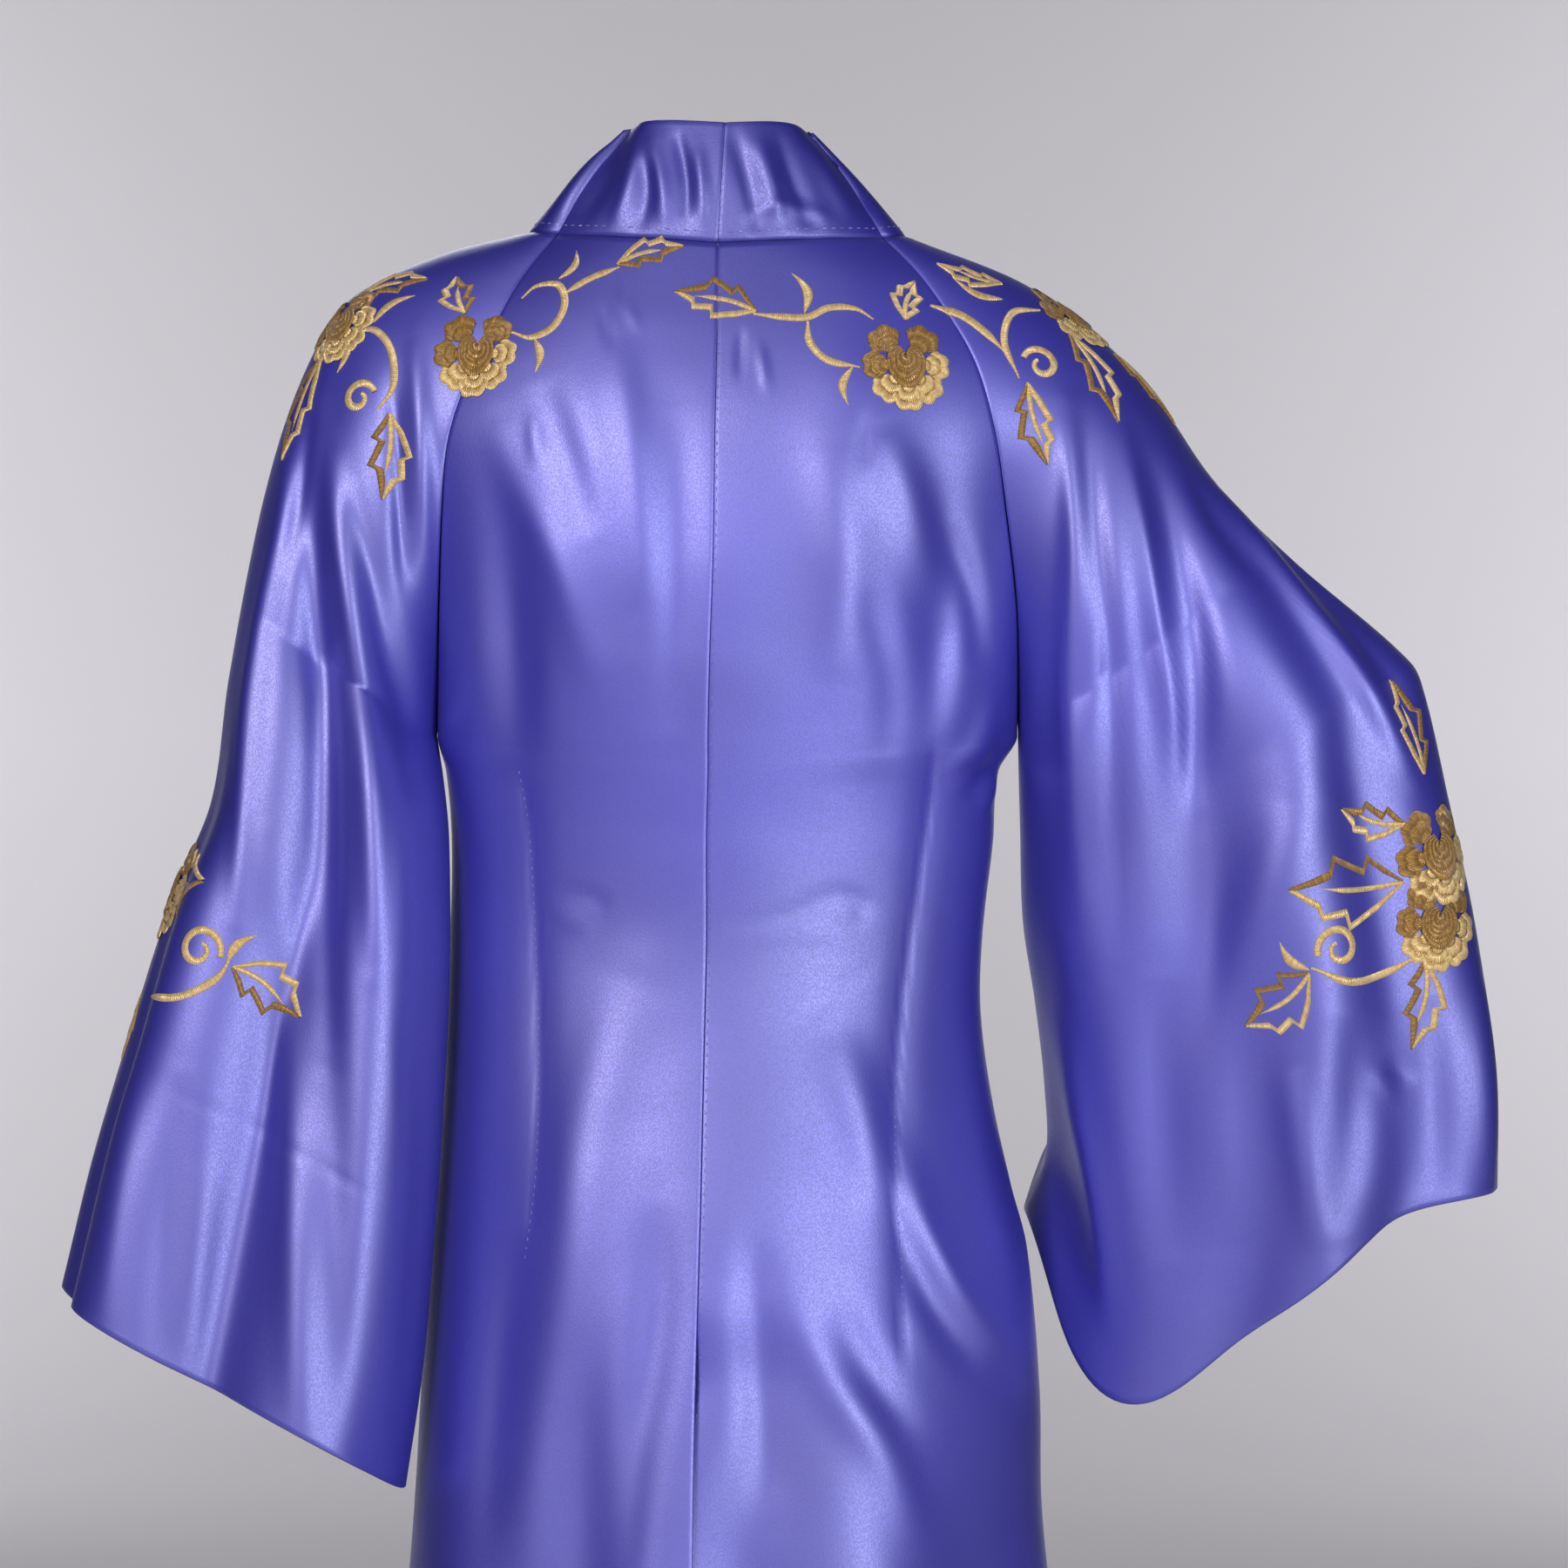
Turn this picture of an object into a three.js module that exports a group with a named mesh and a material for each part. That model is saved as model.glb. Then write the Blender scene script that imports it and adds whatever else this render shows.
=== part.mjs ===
// A full-length satin hanfu robe with raglan sleeves, as it hangs on a wearer.
// Millimetres, +Z up. The robe's front faces -Y and the wearer's left is +X.
// The origin is the middle of the neck opening, level with the shoulders beside the neck.
// Every piece of cloth is a grid of points on the garment's outside, given a wall inward.

import * as THREE from 'three';

// ---------- driving sizes ----------
const CLOTH = 1.6;            // satin wall
const BAND_CLOTH = 2.4;       // collar band, doubled satin
const SEAM_GAP = 0.3;         // between neighbouring pieces
const HEM_Z = -1370;
const UNDERARM_V = 0.42;      // share of the sleeve's length that is raglan seam
const VENT_TOP_Z = -600;
const VENT_UNDERLAP = 30;
const VENT_DEPTH = 7;

// ---------- grid counts ----------
const RAGLAN_ROWS = 10;
const SLEEVE_ROWS = 16;       // from the underarm to the sleeve hem
const BODY_ROWS = 20;         // from the underarm to the robe hem
const BACK_COLUMNS = 11;
const FRONT_COLUMNS = 8;
const SLEEVE_COLUMNS = 13;    // in each half, top line to underarm seam
const BAND_COLUMNS = 3;

// ---------- tables: one row for each section ----------
function table(columns, rows) {
  return rows.map(row => Object.fromEntries(columns.map((name, i) => [name, row[i]])));
}

// Centre back line, side seams and depth of the body at each height.
const BODY = table(['z', 'backX', 'leftX', 'rightX', 'sideY', 'backY'], [
  [-6, 0, 162, -172, 8, 62],
  [-25, 0, 162, -172, 8, 73],
  [-60, 0, 162, -172, 8, 88],
  [-110, 1, 162, -172, 8, 101],
  [-180, 2, 162, -172, 8, 108],
  [-240, 4, 162, -172, 8, 105],
  [-285, 5, 162, -172, 8, 99],
  [-305, 5, 157, -161, 8, 96],
  [-345, 6, 154, -158, 6, 90],
  [-400, 6, 155, -152, 5, 85],
  [-445, 7, 157, -151, 4, 87],
  [-496, 8, 160, -158, 2, 95],
  [-545, 9, 164, -169, 0, 104],
  [-580, 10, 167, -178, 0, 109],
  [-660, 12, 172, -185, 0, 119],
  [-732, 13, 177, -186, 0, 126],
  [-900, 14, 193, -200, 0, 138],
  [-1100, 14, 208, -216, 0, 150],
  [-1370, 14, 228, -236, 0, 168],
]);

// The seam between each front and the collar band, from the front raglan seam down.
const FRONT_EDGE = table(['share', 'x', 'y', 'z'], [
  [0, 102, -37, -18],
  [0.03, 97, -62, -50],
  [0.065, 93, -84, -95],
  [0.11, 91, -105, -150],
  [0.16, 88, -118, -215],
  [0.22, 86, -113, -297],
  [0.30, 84, -101, -400],
  [0.41, 88, -117, -550],
  [0.49, 92, -129, -660],
  [0.66, 100, -144, -900],
  [1, 115, -166, HEM_Z],
]);

// Raglan seams, from the neck to the underarm.
const BACK_RAGLAN = {
  left: table(['v', 'x', 'y', 'z'], [
    [0, 92, 32, 2], [0.04, 108, 50, -20], [0.08, 121, 63, -43], [0.15, 143, 75, -90],
    [0.19, 152, 76, -120], [0.24, 156, 68, -160], [0.32, 159, 46, -215], [0.42, 162, 8, -285],
  ]),
  right: table(['v', 'x', 'y', 'z'], [
    [0, -94, 32, 0], [0.04, -113, 50, -21], [0.08, -130, 63, -46], [0.13, -146, 73, -76],
    [0.18, -156, 76, -112], [0.23, -162, 68, -150], [0.32, -170, 46, -215], [0.42, -172, 8, -285],
  ]),
};
const FRONT_RAGLAN = table(['v', 'x', 'y', 'z'], [
  [0, 104, -30, -12], [0.05, 112, -50, -35], [0.10, 122, -68, -62], [0.16, 138, -80, -98],
  [0.22, 149, -82, -138], [0.28, 156, -72, -175], [0.35, 161, -45, -230], [0.42, 162, 8, -285],
]);

// Top line of each sleeve, neck to hem, and how deep its back and front halves are.
const SLEEVE_TOP = {
  left: table(['v', 'x', 'y', 'z'], [
    [0, 110, 5, 5], [0.075, 162, 5, -8], [0.155, 212, 6, -33], [0.22, 237, 8, -72],
    [0.325, 260, 12, -142], [0.48, 281, 18, -251], [0.585, 291, 22, -322], [0.66, 312, 25, -374],
    [0.785, 338, 28, -459], [0.885, 358, 30, -526], [1, 376, 32, -600],
  ]),
  right: table(['v', 'x', 'y', 'z'], [
    [0, -108, 5, 3], [0.115, -182, 6, -28], [0.23, -242, 10, -78], [0.34, -286, 14, -140],
    [0.43, -330, 18, -184], [0.555, -396, 22, -242], [0.59, -405, 22, -262], [0.67, -418, 18, -318],
    [0.767, -433, 10, -384], [0.84, -442, 4, -435], [0.916, -449, -2, -487], [1, -450, -8, -545],
  ]),
};
const UNDERARM_SEAM = {
  left: table(['v', 'x', 'y', 'z'], [
    [0.42, 162, 8, -285], [0.46, 157, 21, -315], [0.50, 154, 29, -345], [0.60, 153, 37, -419],
    [0.70, 156, 42, -494], [0.80, 161, 46, -568], [0.90, 167, 49, -641], [1, 177, 52, -711],
  ]),
  right: table(['v', 'x', 'y', 'z'], [
    [0.42, -172, 8, -285], [0.52, -174, -6, -335], [0.64, -176, -20, -390], [0.76, -184, -34, -440],
    [0.87, -190, -46, -490], [0.95, -191, -58, -532], [1, -179, -70, -563],
  ]),
};
// depth: how far a half stands off the line from top to seam; drop: how far it hangs below it;
// turn: degrees that the half turns through, so 180 is a full half round.
const SLEEVE_HALF = {
  left: {
    back: table(['v', 'depth', 'drop', 'turn'], [
      [0, 27, 0, 90], [0.08, 42, 0, 90], [0.16, 56, 0, 92], [0.25, 62, 0, 125],
      [0.42, 64, 0, 178], [0.7, 68, 0, 180], [1, 76, -6, 180],
    ]),
    front: table(['v', 'depth', 'drop', 'turn'], [
      [0, 33, 0, 90], [0.08, 46, 0, 90], [0.16, 58, 0, 92], [0.25, 62, 0, 118],
      [0.42, 62, 0, 150], [0.55, 58, 0, 125], [0.7, 58, 0, 120], [1, 66, -6, 120],
    ]),
  },
  right: {
    back: table(['v', 'depth', 'drop', 'turn'], [
      [0, 27, 0, 90], [0.08, 42, 0, 90], [0.16, 56, 0, 92], [0.25, 62, 0, 125],
      [0.42, 66, 0, 178], [0.6, 74, 8, 180], [0.8, 84, 42, 180], [1, 92, 104, 180],
    ]),
    front: table(['v', 'depth', 'drop', 'turn'], [
      [0, 33, 0, 90], [0.08, 46, 0, 90], [0.16, 58, 0, 92], [0.25, 62, 0, 118],
      [0.42, 62, 0, 165], [0.6, 62, 0, 170], [0.8, 60, -8, 170], [1, 60, -52, 170],
    ]),
  },
};
const BACK_DROP_SKEW = 2.3;   // moves the lowest point of a hanging half towards the seam
const FRONT_DROP_SKEW = 5;

// The collar band's reach from its seam to its free edge, by distance along the seam from centre back.
const BAND_REACH = table(['along', 'x', 'y', 'z'], [
  [0, 0, -10, 69], [60, -19, -12, 67], [100, -42, -13, 61], [130, -55, 0, 57],
  [170, -58, 7, 53], [215, -62, -3, 44], [265, -67, -9, 26], [320, -70, -9, 9],
  [390, -71, -6, 1], [600, -71, -4, 0], [1500, -71, -5, 0],
]);
const BAND_BULGE = 3;
const BAND_SEAM_LEAN = -4;    // the collar's centre seam leans this way at its top edge
const BAND_LEAN_LENGTH = 60;

// ---------- folds: one row for each ----------
// Body folds run down the cloth: angle round the body from centre back, wearer's left positive.
const BODY_FOLDS = table(['top', 'foot', 'width', 'depth', 'startZ', 'fullZ'], [
  [40, 30, 13, -9, -520, -760],
  [62, 58, 12, 10, -560, -900],
  [18, 14, 9, 7, -560, -900],
  [-22, -20, 11, -7, -560, -800],
  [-42, -44, 12, 9, -540, -860],
  [-66, -68, 13, -9, -560, -900],
  [86, 84, 12, -9, -640, -1100],
  [-90, -88, 12, 8, -640, -1100],
  [112, 112, 11, 9, -560, -1000],
  [-114, -114, 12, 9, -560, -1000],
  [134, 132, 10, -8, -600, -1050],
  [-132, -136, 10, -8, -600, -1050],
]);
// Shoulder-blade drag and the hollow down the middle of the back.
const BACK_DRAPE = table(['x', 'z', 'wide', 'high', 'depth'], [
  [78, -150, 34, 90, 5], [-80, -150, 34, 90, 5], [118, -225, 16, 75, -7], [-126, -220, 16, 75, -7],
]);
// Sleeve folds: round is -1 at the front seam, 0 on the top line and 1 at the back seam.
const SLEEVE_FOLDS = {
  left: table(['top', 'foot', 'width', 'depth', 'startV', 'fullV'], [
    [0.44, 0.47, 0.10, -22, 0.14, 0.75],
    [0.26, 0.25, 0.09, 11, 0.20, 0.80],
    [0.66, 0.70, 0.10, 12, 0.22, 0.80],
    [0.10, 0.09, 0.07, -8, 0.45, 0.95],
    [-0.20, -0.18, 0.09, 10, 0.30, 0.80],
    [-0.40, -0.42, 0.10, -15, 0.25, 0.80],
    [-0.64, -0.66, 0.10, 10, 0.30, 0.85],
  ]),
  right: table(['top', 'foot', 'width', 'depth', 'startV', 'fullV'], [
    [0.60, 0.74, 0.11, 14, 0.16, 0.70],
    [0.42, 0.56, 0.09, -11, 0.16, 0.62],
    [0.30, 0.44, 0.09, 10, 0.30, 0.80],
    [0.16, 0.30, 0.07, -8, 0.30, 0.62],
    [0.12, 0.18, 0.08, 8, 0.60, 0.95],
    [-0.25, -0.22, 0.10, 9, 0.25, 0.80],
    [-0.45, -0.42, 0.10, -10, 0.25, 0.80],
    [-0.70, -0.66, 0.10, 8, 0.35, 0.85],
  ]),
};

// ---------- small helpers ----------
const clamp = (value, low, high) => Math.min(high, Math.max(low, value));
const lerp = (a, b, t) => a + (b - a) * t;
const radians = degrees => degrees * Math.PI / 180;

function ease(from, to, value) {
  const t = clamp((value - from) / (to - from), 0, 1);
  return t * t * (3 - 2 * t);
}

const bump = offset => Math.exp(-offset * offset);

// A smooth curve through one column of a table, read at a value of its key column.
function read(rows, key, column, at) {
  const sign = Math.sign(rows[rows.length - 1][key] - rows[0][key]);
  const last = rows.length - 1;
  let i = 0;
  while (i < last - 1 && (at - rows[i + 1][key]) * sign > 0) {
    i += 1;
  }
  const slope = k => {
    const before = rows[Math.max(0, k - 1)];
    const after = rows[Math.min(last, k + 1)];
    return (after[column] - before[column]) / (after[key] - before[key]);
  };
  const span = rows[i + 1][key] - rows[i][key];
  const t = clamp((at - rows[i][key]) / span, 0, 1);
  const t2 = t * t;
  const t3 = t2 * t;
  return rows[i][column] * (2 * t3 - 3 * t2 + 1) + slope(i) * span * (t3 - 2 * t2 + t)
    + rows[i + 1][column] * (3 * t2 - 2 * t3) + slope(i + 1) * span * (t3 - t2);
}

function readPoint(rows, key, at) {
  return new THREE.Vector3(...['x', 'y', 'z'].map(axis => read(rows, key, axis, at)));
}

const steps = count => Array.from({ length: count + 1 }, (_, i) => i / count);

// ---------- seam curves ----------
const SIDES = { left: 1, right: -1 };

function backRaglan(side, share) {
  return readPoint(BACK_RAGLAN[side], 'v', share * UNDERARM_V);
}

function frontRaglan(side, share) {
  const point = readPoint(FRONT_RAGLAN, 'v', share * UNDERARM_V);
  const underarm = backRaglan(side, 1);
  const spread = Math.abs(underarm.x) - backRaglan('left', 1).x;
  point.x = SIDES[side] * (point.x + spread * ease(0.2, 1, share));
  return point;
}

// Share of a piece's length at body row i: the raglan rows first, then the rows to the hem.
function bodyRow(i) {
  const inRaglan = i <= RAGLAN_ROWS;
  return { inRaglan, share: inRaglan ? i / RAGLAN_ROWS : (i - RAGLAN_ROWS) / BODY_ROWS };
}

const CENTRE_BACK_AT_UNDERARM_Z = -300;

function centreBack(i) {
  const { inRaglan, share } = bodyRow(i);
  const z = inRaglan ? lerp(BODY[0].z, CENTRE_BACK_AT_UNDERARM_Z, share)
    : lerp(CENTRE_BACK_AT_UNDERARM_Z, HEM_Z, share);
  return new THREE.Vector3(read(BODY, 'z', 'backX', z), read(BODY, 'z', 'backY', z), z);
}

function sideSeam(side, i) {
  const { share } = bodyRow(i);
  const z = lerp(backRaglan(side, 1).z, HEM_Z, share);
  return new THREE.Vector3(read(BODY, 'z', side + 'X', z), read(BODY, 'z', 'sideY', z), z);
}

// The front edge's rows bunch towards the neck as the raglan rows do.
function frontEdge(side, i) {
  const { inRaglan, share } = bodyRow(i);
  const underarmShare = 0.21;
  const at = inRaglan ? underarmShare * share : lerp(underarmShare, 1, share);
  const point = readPoint(FRONT_EDGE, 'share', at);
  point.x *= SIDES[side];
  return point;
}

// ---------- cloth surfaces ----------
// A row of points that turns from direction X at its start through the given angles.
function turnedRow(start, end, fromDegrees, toDegrees, columns) {
  const from = radians(fromDegrees);
  const to = radians(toDegrees);
  return steps(columns).map(t => {
    const angle = lerp(from, to, t);
    const across = (Math.sin(angle) - Math.sin(from)) / (Math.sin(to) - Math.sin(from));
    const inward = (Math.cos(from) - Math.cos(angle)) / (Math.cos(from) - Math.cos(to));
    return new THREE.Vector3(
      lerp(start.x, end.x, across), lerp(start.y, end.y, inward), lerp(start.z, end.z, t));
  });
}

// Folds push the body's cloth out from, or in towards, its upright axis.
function foldBody(point) {
  const axisX = read(BODY, 'z', 'backX', clamp(point.z, HEM_Z, BODY[0].z));
  const out = new THREE.Vector3(point.x - axisX, point.y, 0);
  const angle = Math.atan2(out.x, out.y) * 180 / Math.PI;
  out.normalize();
  for (const fold of BODY_FOLDS) {
    const grown = ease(fold.startZ, fold.fullZ, point.z);
    const place = lerp(fold.top, fold.foot, grown);
    let offset = angle - place;
    offset -= 360 * Math.round(offset / 360);
    point.addScaledVector(out, fold.depth * grown * bump(offset / fold.width));
  }
}

function drapeBack(point, seamShare) {
  for (const place of BACK_DRAPE) {
    const spread = bump(Math.hypot((point.x - place.x) / place.wide, (point.z - place.z) / place.high));
    point.y += place.depth * spread * (1 - seamShare ** 4);
  }
}

function backPanel(side) {
  const grid = [];
  for (let i = 0; i <= RAGLAN_ROWS + BODY_ROWS; i += 1) {
    const { inRaglan, share } = bodyRow(i);
    const end = inRaglan ? backRaglan(side, share) : sideSeam(side, i);
    const turn = inRaglan ? lerp(58, 90, ease(0.4, 1, share)) : 90;
    const row = turnedRow(centreBack(i), end, 0, turn, BACK_COLUMNS);
    row.forEach((point, j) => {
      drapeBack(point, j / BACK_COLUMNS);
      foldBody(point);
    });
    grid.push(row);
  }
  return grid;
}

// Below the vent's top the wearer's right back passes under the left one.
function lapVent(grid) {
  for (const row of grid) {
    row.forEach((point, j) => {
      const near = (1 - j / BACK_COLUMNS) ** 4;
      const z = row[0].z;
      point.y -= VENT_DEPTH * near * ease(VENT_TOP_Z, VENT_TOP_Z - 50, z);
      point.x += VENT_UNDERLAP * near * ease(VENT_TOP_Z - 50, VENT_TOP_Z - 160, z);
    });
  }
  return grid;
}

function frontPanel(side) {
  const grid = [];
  for (let i = 0; i <= RAGLAN_ROWS + BODY_ROWS; i += 1) {
    const { inRaglan, share } = bodyRow(i);
    const end = inRaglan ? frontRaglan(side, share) : sideSeam(side, i);
    const turn = inRaglan ? lerp(55, 90, ease(0.4, 1, share)) : 90;
    const row = turnedRow(frontEdge(side, i), end, 28, turn, FRONT_COLUMNS);
    row.forEach(foldBody);
    grid.push(row);
  }
  return grid;
}

function foldSleeve(side, point, axis, round, v) {
  const out = point.clone().sub(axis).normalize();
  const free = 1 - Math.abs(round) ** 6;
  for (const fold of SLEEVE_FOLDS[side]) {
    const grown = ease(fold.startV, fold.fullV, v);
    const place = lerp(fold.top, fold.foot, grown);
    point.addScaledVector(out, fold.depth * grown * free * bump((round - place) / fold.width));
  }
}

function sleeveHalfPoint(side, half, v, top, edge, t) {
  const rows = SLEEVE_HALF[side][half];
  const facing = half === 'back' ? 1 : -1;
  const skew = half === 'back' ? BACK_DROP_SKEW : FRONT_DROP_SKEW;
  const turn = radians(read(rows, 'v', 'turn', v));
  const angle = turn * t;
  const across = (1 - Math.cos(angle)) / (1 - Math.cos(turn));
  const point = top.clone().lerp(edge, across);
  point.y += facing * read(rows, 'v', 'depth', v) * (Math.sin(angle) - Math.sin(turn) * across);
  point.z -= read(rows, 'v', 'drop', v) * Math.sin(Math.PI * across ** skew);
  return point;
}

// One sheet from the back seam over the top line to the front seam.
function sleeve(side) {
  const grid = [];
  for (let i = 0; i <= RAGLAN_ROWS + SLEEVE_ROWS; i += 1) {
    const inRaglan = i <= RAGLAN_ROWS;
    const share = inRaglan ? i / RAGLAN_ROWS : (i - RAGLAN_ROWS) / SLEEVE_ROWS;
    const v = inRaglan ? UNDERARM_V * share : lerp(UNDERARM_V, 1, share);
    const top = readPoint(SLEEVE_TOP[side], 'v', v);
    const underarm = readPoint(UNDERARM_SEAM[side], 'v', v);
    const edges = {
      back: inRaglan ? backRaglan(side, share) : underarm,
      front: inRaglan ? frontRaglan(side, share) : underarm,
    };
    const axis = top.clone().lerp(edges.back.clone().lerp(edges.front, 0.5), 0.5);
    const halfRow = half => steps(SLEEVE_COLUMNS).map(t => {
      const point = sleeveHalfPoint(side, half, v, top, edges[half], t);
      foldSleeve(side, point, axis, half === 'back' ? t : -t, v);
      return point;
    });
    grid.push([...halfRow('back').reverse(), ...halfRow('front').slice(1)]);
  }
  return grid;
}

// The band follows its neighbours' own seam points: back neck, sleeve neck and front edge.
function collarBand(side, back, sleeveGrid, front) {
  const seam = [
    ...back[0],
    ...sleeveGrid[0].slice(1),
    ...[...front[0]].reverse().slice(1),
    ...front.slice(1).map(row => row[0]),
  ];
  let along = 0;
  return seam.map((point, k) => {
    along += k > 0 ? point.distanceTo(seam[k - 1]) : 0;
    const reach = readPoint(BAND_REACH, 'along', along);
    reach.x = reach.x * SIDES[side] + BAND_SEAM_LEAN * (1 - ease(0, BAND_LEAN_LENGTH, along));
    const away = new THREE.Vector3(point.x, point.y, 0).normalize();
    return steps(BAND_COLUMNS).map(t => point.clone()
      .addScaledVector(reach, t)
      .addScaledVector(away, BAND_BULGE * Math.sin(Math.PI * t)));
  });
}

// ---------- walls ----------
function gridNormals(grid, facing) {
  const at = (i, j) => grid[clamp(i, 0, grid.length - 1)][clamp(j, 0, grid[0].length - 1)];
  return grid.map((row, i) => row.map((_, j) => {
    const down = at(i + 1, j).clone().sub(at(i - 1, j));
    const across = at(i, j + 1).clone().sub(at(i, j - 1));
    return across.cross(down).multiplyScalar(facing).normalize();
  }));
}

const placeKey = point => point.toArray().map(value => Math.round(value * 200)).join();

function isRim(grid, i, j) {
  return i === 0 || j === 0 || i === grid.length - 1 || j === grid[0].length - 1;
}

function inwardDirection(grid, i, j) {
  const rows = grid.length - 1;
  const columns = grid[0].length - 1;
  const inner = grid[clamp(i, 1, rows - 1)][clamp(j, 1, columns - 1)];
  return inner.clone().sub(grid[i][j]).normalize();
}

// Where pieces meet, their walls share one direction, so that neither crosses the other.
function meetingPoints(pieces) {
  const meetings = new Map();
  for (const piece of pieces) {
    piece.grid.forEach((row, i) => row.forEach((point, j) => {
      if (isRim(piece.grid, i, j)) {
        const key = placeKey(point);
        const entry = { normal: piece.normals[i][j], inward: inwardDirection(piece.grid, i, j) };
        meetings.set(key, [...(meetings.get(key) ?? []), entry]);
      }
    }));
  }
  return meetings;
}

function walledVertices(piece, meetings) {
  const outer = [];
  const inner = [];
  piece.grid.forEach((row, i) => row.forEach((point, j) => {
    const own = piece.normals[i][j];
    const direction = own.clone();
    const seat = point.clone();
    if (isRim(piece.grid, i, j)) {
      const inward = inwardDirection(piece.grid, i, j);
      let sharpest = 1;
      for (const other of meetings.get(placeKey(point))) {
        if (other.normal !== own && other.normal.dot(own) > 0) {
          direction.add(other.normal);
        }
        if (other.normal !== own) {
          sharpest = Math.min(sharpest, Math.sin(inward.angleTo(other.inward) / 2));
        }
      }
      direction.normalize();
      seat.addScaledVector(inward, SEAM_GAP / 2 / Math.max(0.12, sharpest));
    }
    outer.push(seat);
    const mitre = Math.max(0.6, direction.dot(own));
    inner.push(seat.clone().addScaledVector(direction, -piece.thickness / mitre));
  }));
  return [...outer, ...inner];
}

function wallGeometry(piece, meetings) {
  const vertices = walledVertices(piece, meetings);
  const rows = piece.grid.length;
  const columns = piece.grid[0].length;
  const inside = rows * columns;
  const triangles = [];
  const quad = (a, b, c, d) => {
    const corners = piece.facing > 0 ? [a, b, c, a, c, d] : [a, c, b, a, d, c];
    triangles.push(...corners);
  };
  for (let i = 0; i < rows - 1; i += 1) {
    for (let j = 0; j < columns - 1; j += 1) {
      const a = i * columns + j;
      quad(a, a + columns, a + columns + 1, a + 1);
      quad(inside + a, inside + a + 1, inside + a + columns + 1, inside + a + columns);
    }
  }
  const rim = [];
  for (let j = 0; j < columns; j += 1) {
    rim.push(j);
  }
  for (let i = 1; i < rows; i += 1) {
    rim.push(i * columns + columns - 1);
  }
  for (let j = columns - 2; j >= 0; j -= 1) {
    rim.push((rows - 1) * columns + j);
  }
  for (let i = rows - 2; i > 0; i -= 1) {
    rim.push(i * columns);
  }
  rim.forEach((a, k) => {
    const b = rim[(k + 1) % rim.length];
    quad(a, b, inside + b, inside + a);
  });
  const geometry = new THREE.BufferGeometry();
  geometry.setAttribute('position',
    new THREE.Float32BufferAttribute(vertices.flatMap(point => point.toArray()), 3));
  geometry.setIndex(triangles);
  geometry.computeVertexNormals();
  return geometry;
}

// ---------- the robe ----------
const satin = new THREE.MeshStandardMaterial({ color: 0x5c56c8, roughness: 0.35, metalness: 0 });
const bandSatin = new THREE.MeshStandardMaterial({ color: 0x4f49ba, roughness: 0.35, metalness: 0 });

function sidePieces(side) {
  const facing = SIDES[side];
  const back = side === 'right' ? lapVent(backPanel(side)) : backPanel(side);
  const front = frontPanel(side);
  const sleeveGrid = sleeve(side);
  const band = collarBand(side, back, sleeveGrid, front);
  return [
    { name: 'back_' + side, grid: back, facing: -facing, thickness: CLOTH, material: satin },
    { name: 'front_' + side, grid: front, facing, thickness: CLOTH, material: satin },
    { name: 'sleeve_' + side, grid: sleeveGrid, facing: -facing, thickness: CLOTH, material: satin },
    { name: 'collar_' + side, grid: band, facing: -facing, thickness: BAND_CLOTH, material: bandSatin },
  ];
}

const pieces = Object.keys(SIDES).flatMap(sidePieces);
for (const piece of pieces) {
  piece.normals = gridNormals(piece.grid, -piece.facing);
}
const meetings = meetingPoints(pieces);

const robe = new THREE.Group();
for (const piece of pieces) {
  const mesh = new THREE.Mesh(wallGeometry(piece, meetings), piece.material);
  mesh.name = piece.name;
  robe.add(mesh);
}

export default robe;
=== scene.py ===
# A full-length satin hanfu robe, worn, seen from the back: cloth, stitching, gold embroidery and studio.
# The cloth is worked out in millimetres from the same tables as the frame's solids, then put in metres.

import bpy
import numpy as np
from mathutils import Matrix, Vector
from mathutils.bvhtree import BVHTree


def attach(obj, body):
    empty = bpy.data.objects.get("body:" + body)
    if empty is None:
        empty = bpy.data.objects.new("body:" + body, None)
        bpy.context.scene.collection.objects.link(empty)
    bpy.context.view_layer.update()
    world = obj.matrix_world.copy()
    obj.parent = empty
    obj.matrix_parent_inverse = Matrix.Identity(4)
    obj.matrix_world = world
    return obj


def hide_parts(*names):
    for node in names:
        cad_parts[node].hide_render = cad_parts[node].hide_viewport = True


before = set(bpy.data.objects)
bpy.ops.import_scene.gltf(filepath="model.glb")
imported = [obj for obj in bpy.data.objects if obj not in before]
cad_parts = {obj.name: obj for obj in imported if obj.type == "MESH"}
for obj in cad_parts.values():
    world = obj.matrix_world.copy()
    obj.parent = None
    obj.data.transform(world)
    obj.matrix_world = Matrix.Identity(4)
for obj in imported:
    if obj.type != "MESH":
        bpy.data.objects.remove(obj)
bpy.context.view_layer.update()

MM = 0.001
HEM_Z = -1370
UNDERARM_V = 0.42
FRONT_EDGE_AT_UNDERARM = 0.21
VENT_TOP_Z = -600
VENT_SUNK_Z = VENT_TOP_Z - 50      # the right half is at its full depth under the left one
VENT_LAPPED_Z = VENT_TOP_Z - 160   # and reaches its full underlap
VENT_UNDERLAP = 30
VENT_DEPTH = 7
CENTRE_BACK_AT_UNDERARM_Z = -300
SIDES = {"left": 1, "right": -1}

# ---------- grid counts ----------
RAGLAN_ROWS = 72
BODY_ROWS = 150
SLEEVE_ROWS = 130
BACK_COLUMNS = 110
FRONT_COLUMNS = 66
SLEEVE_COLUMNS = 105       # in each half, top line to underarm seam
BAND_COLUMNS = 24
SEAM_CROWDING = 0.75       # draws a body panel's columns toward both its sides; 0 is even
BODY_CROWDING = 1.5        # draws its rows up toward the underarm; 1 is even
SLEEVE_CROWDING = 0.6      # draws a sleeve's columns toward its underarm seam; 0 is even


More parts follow.
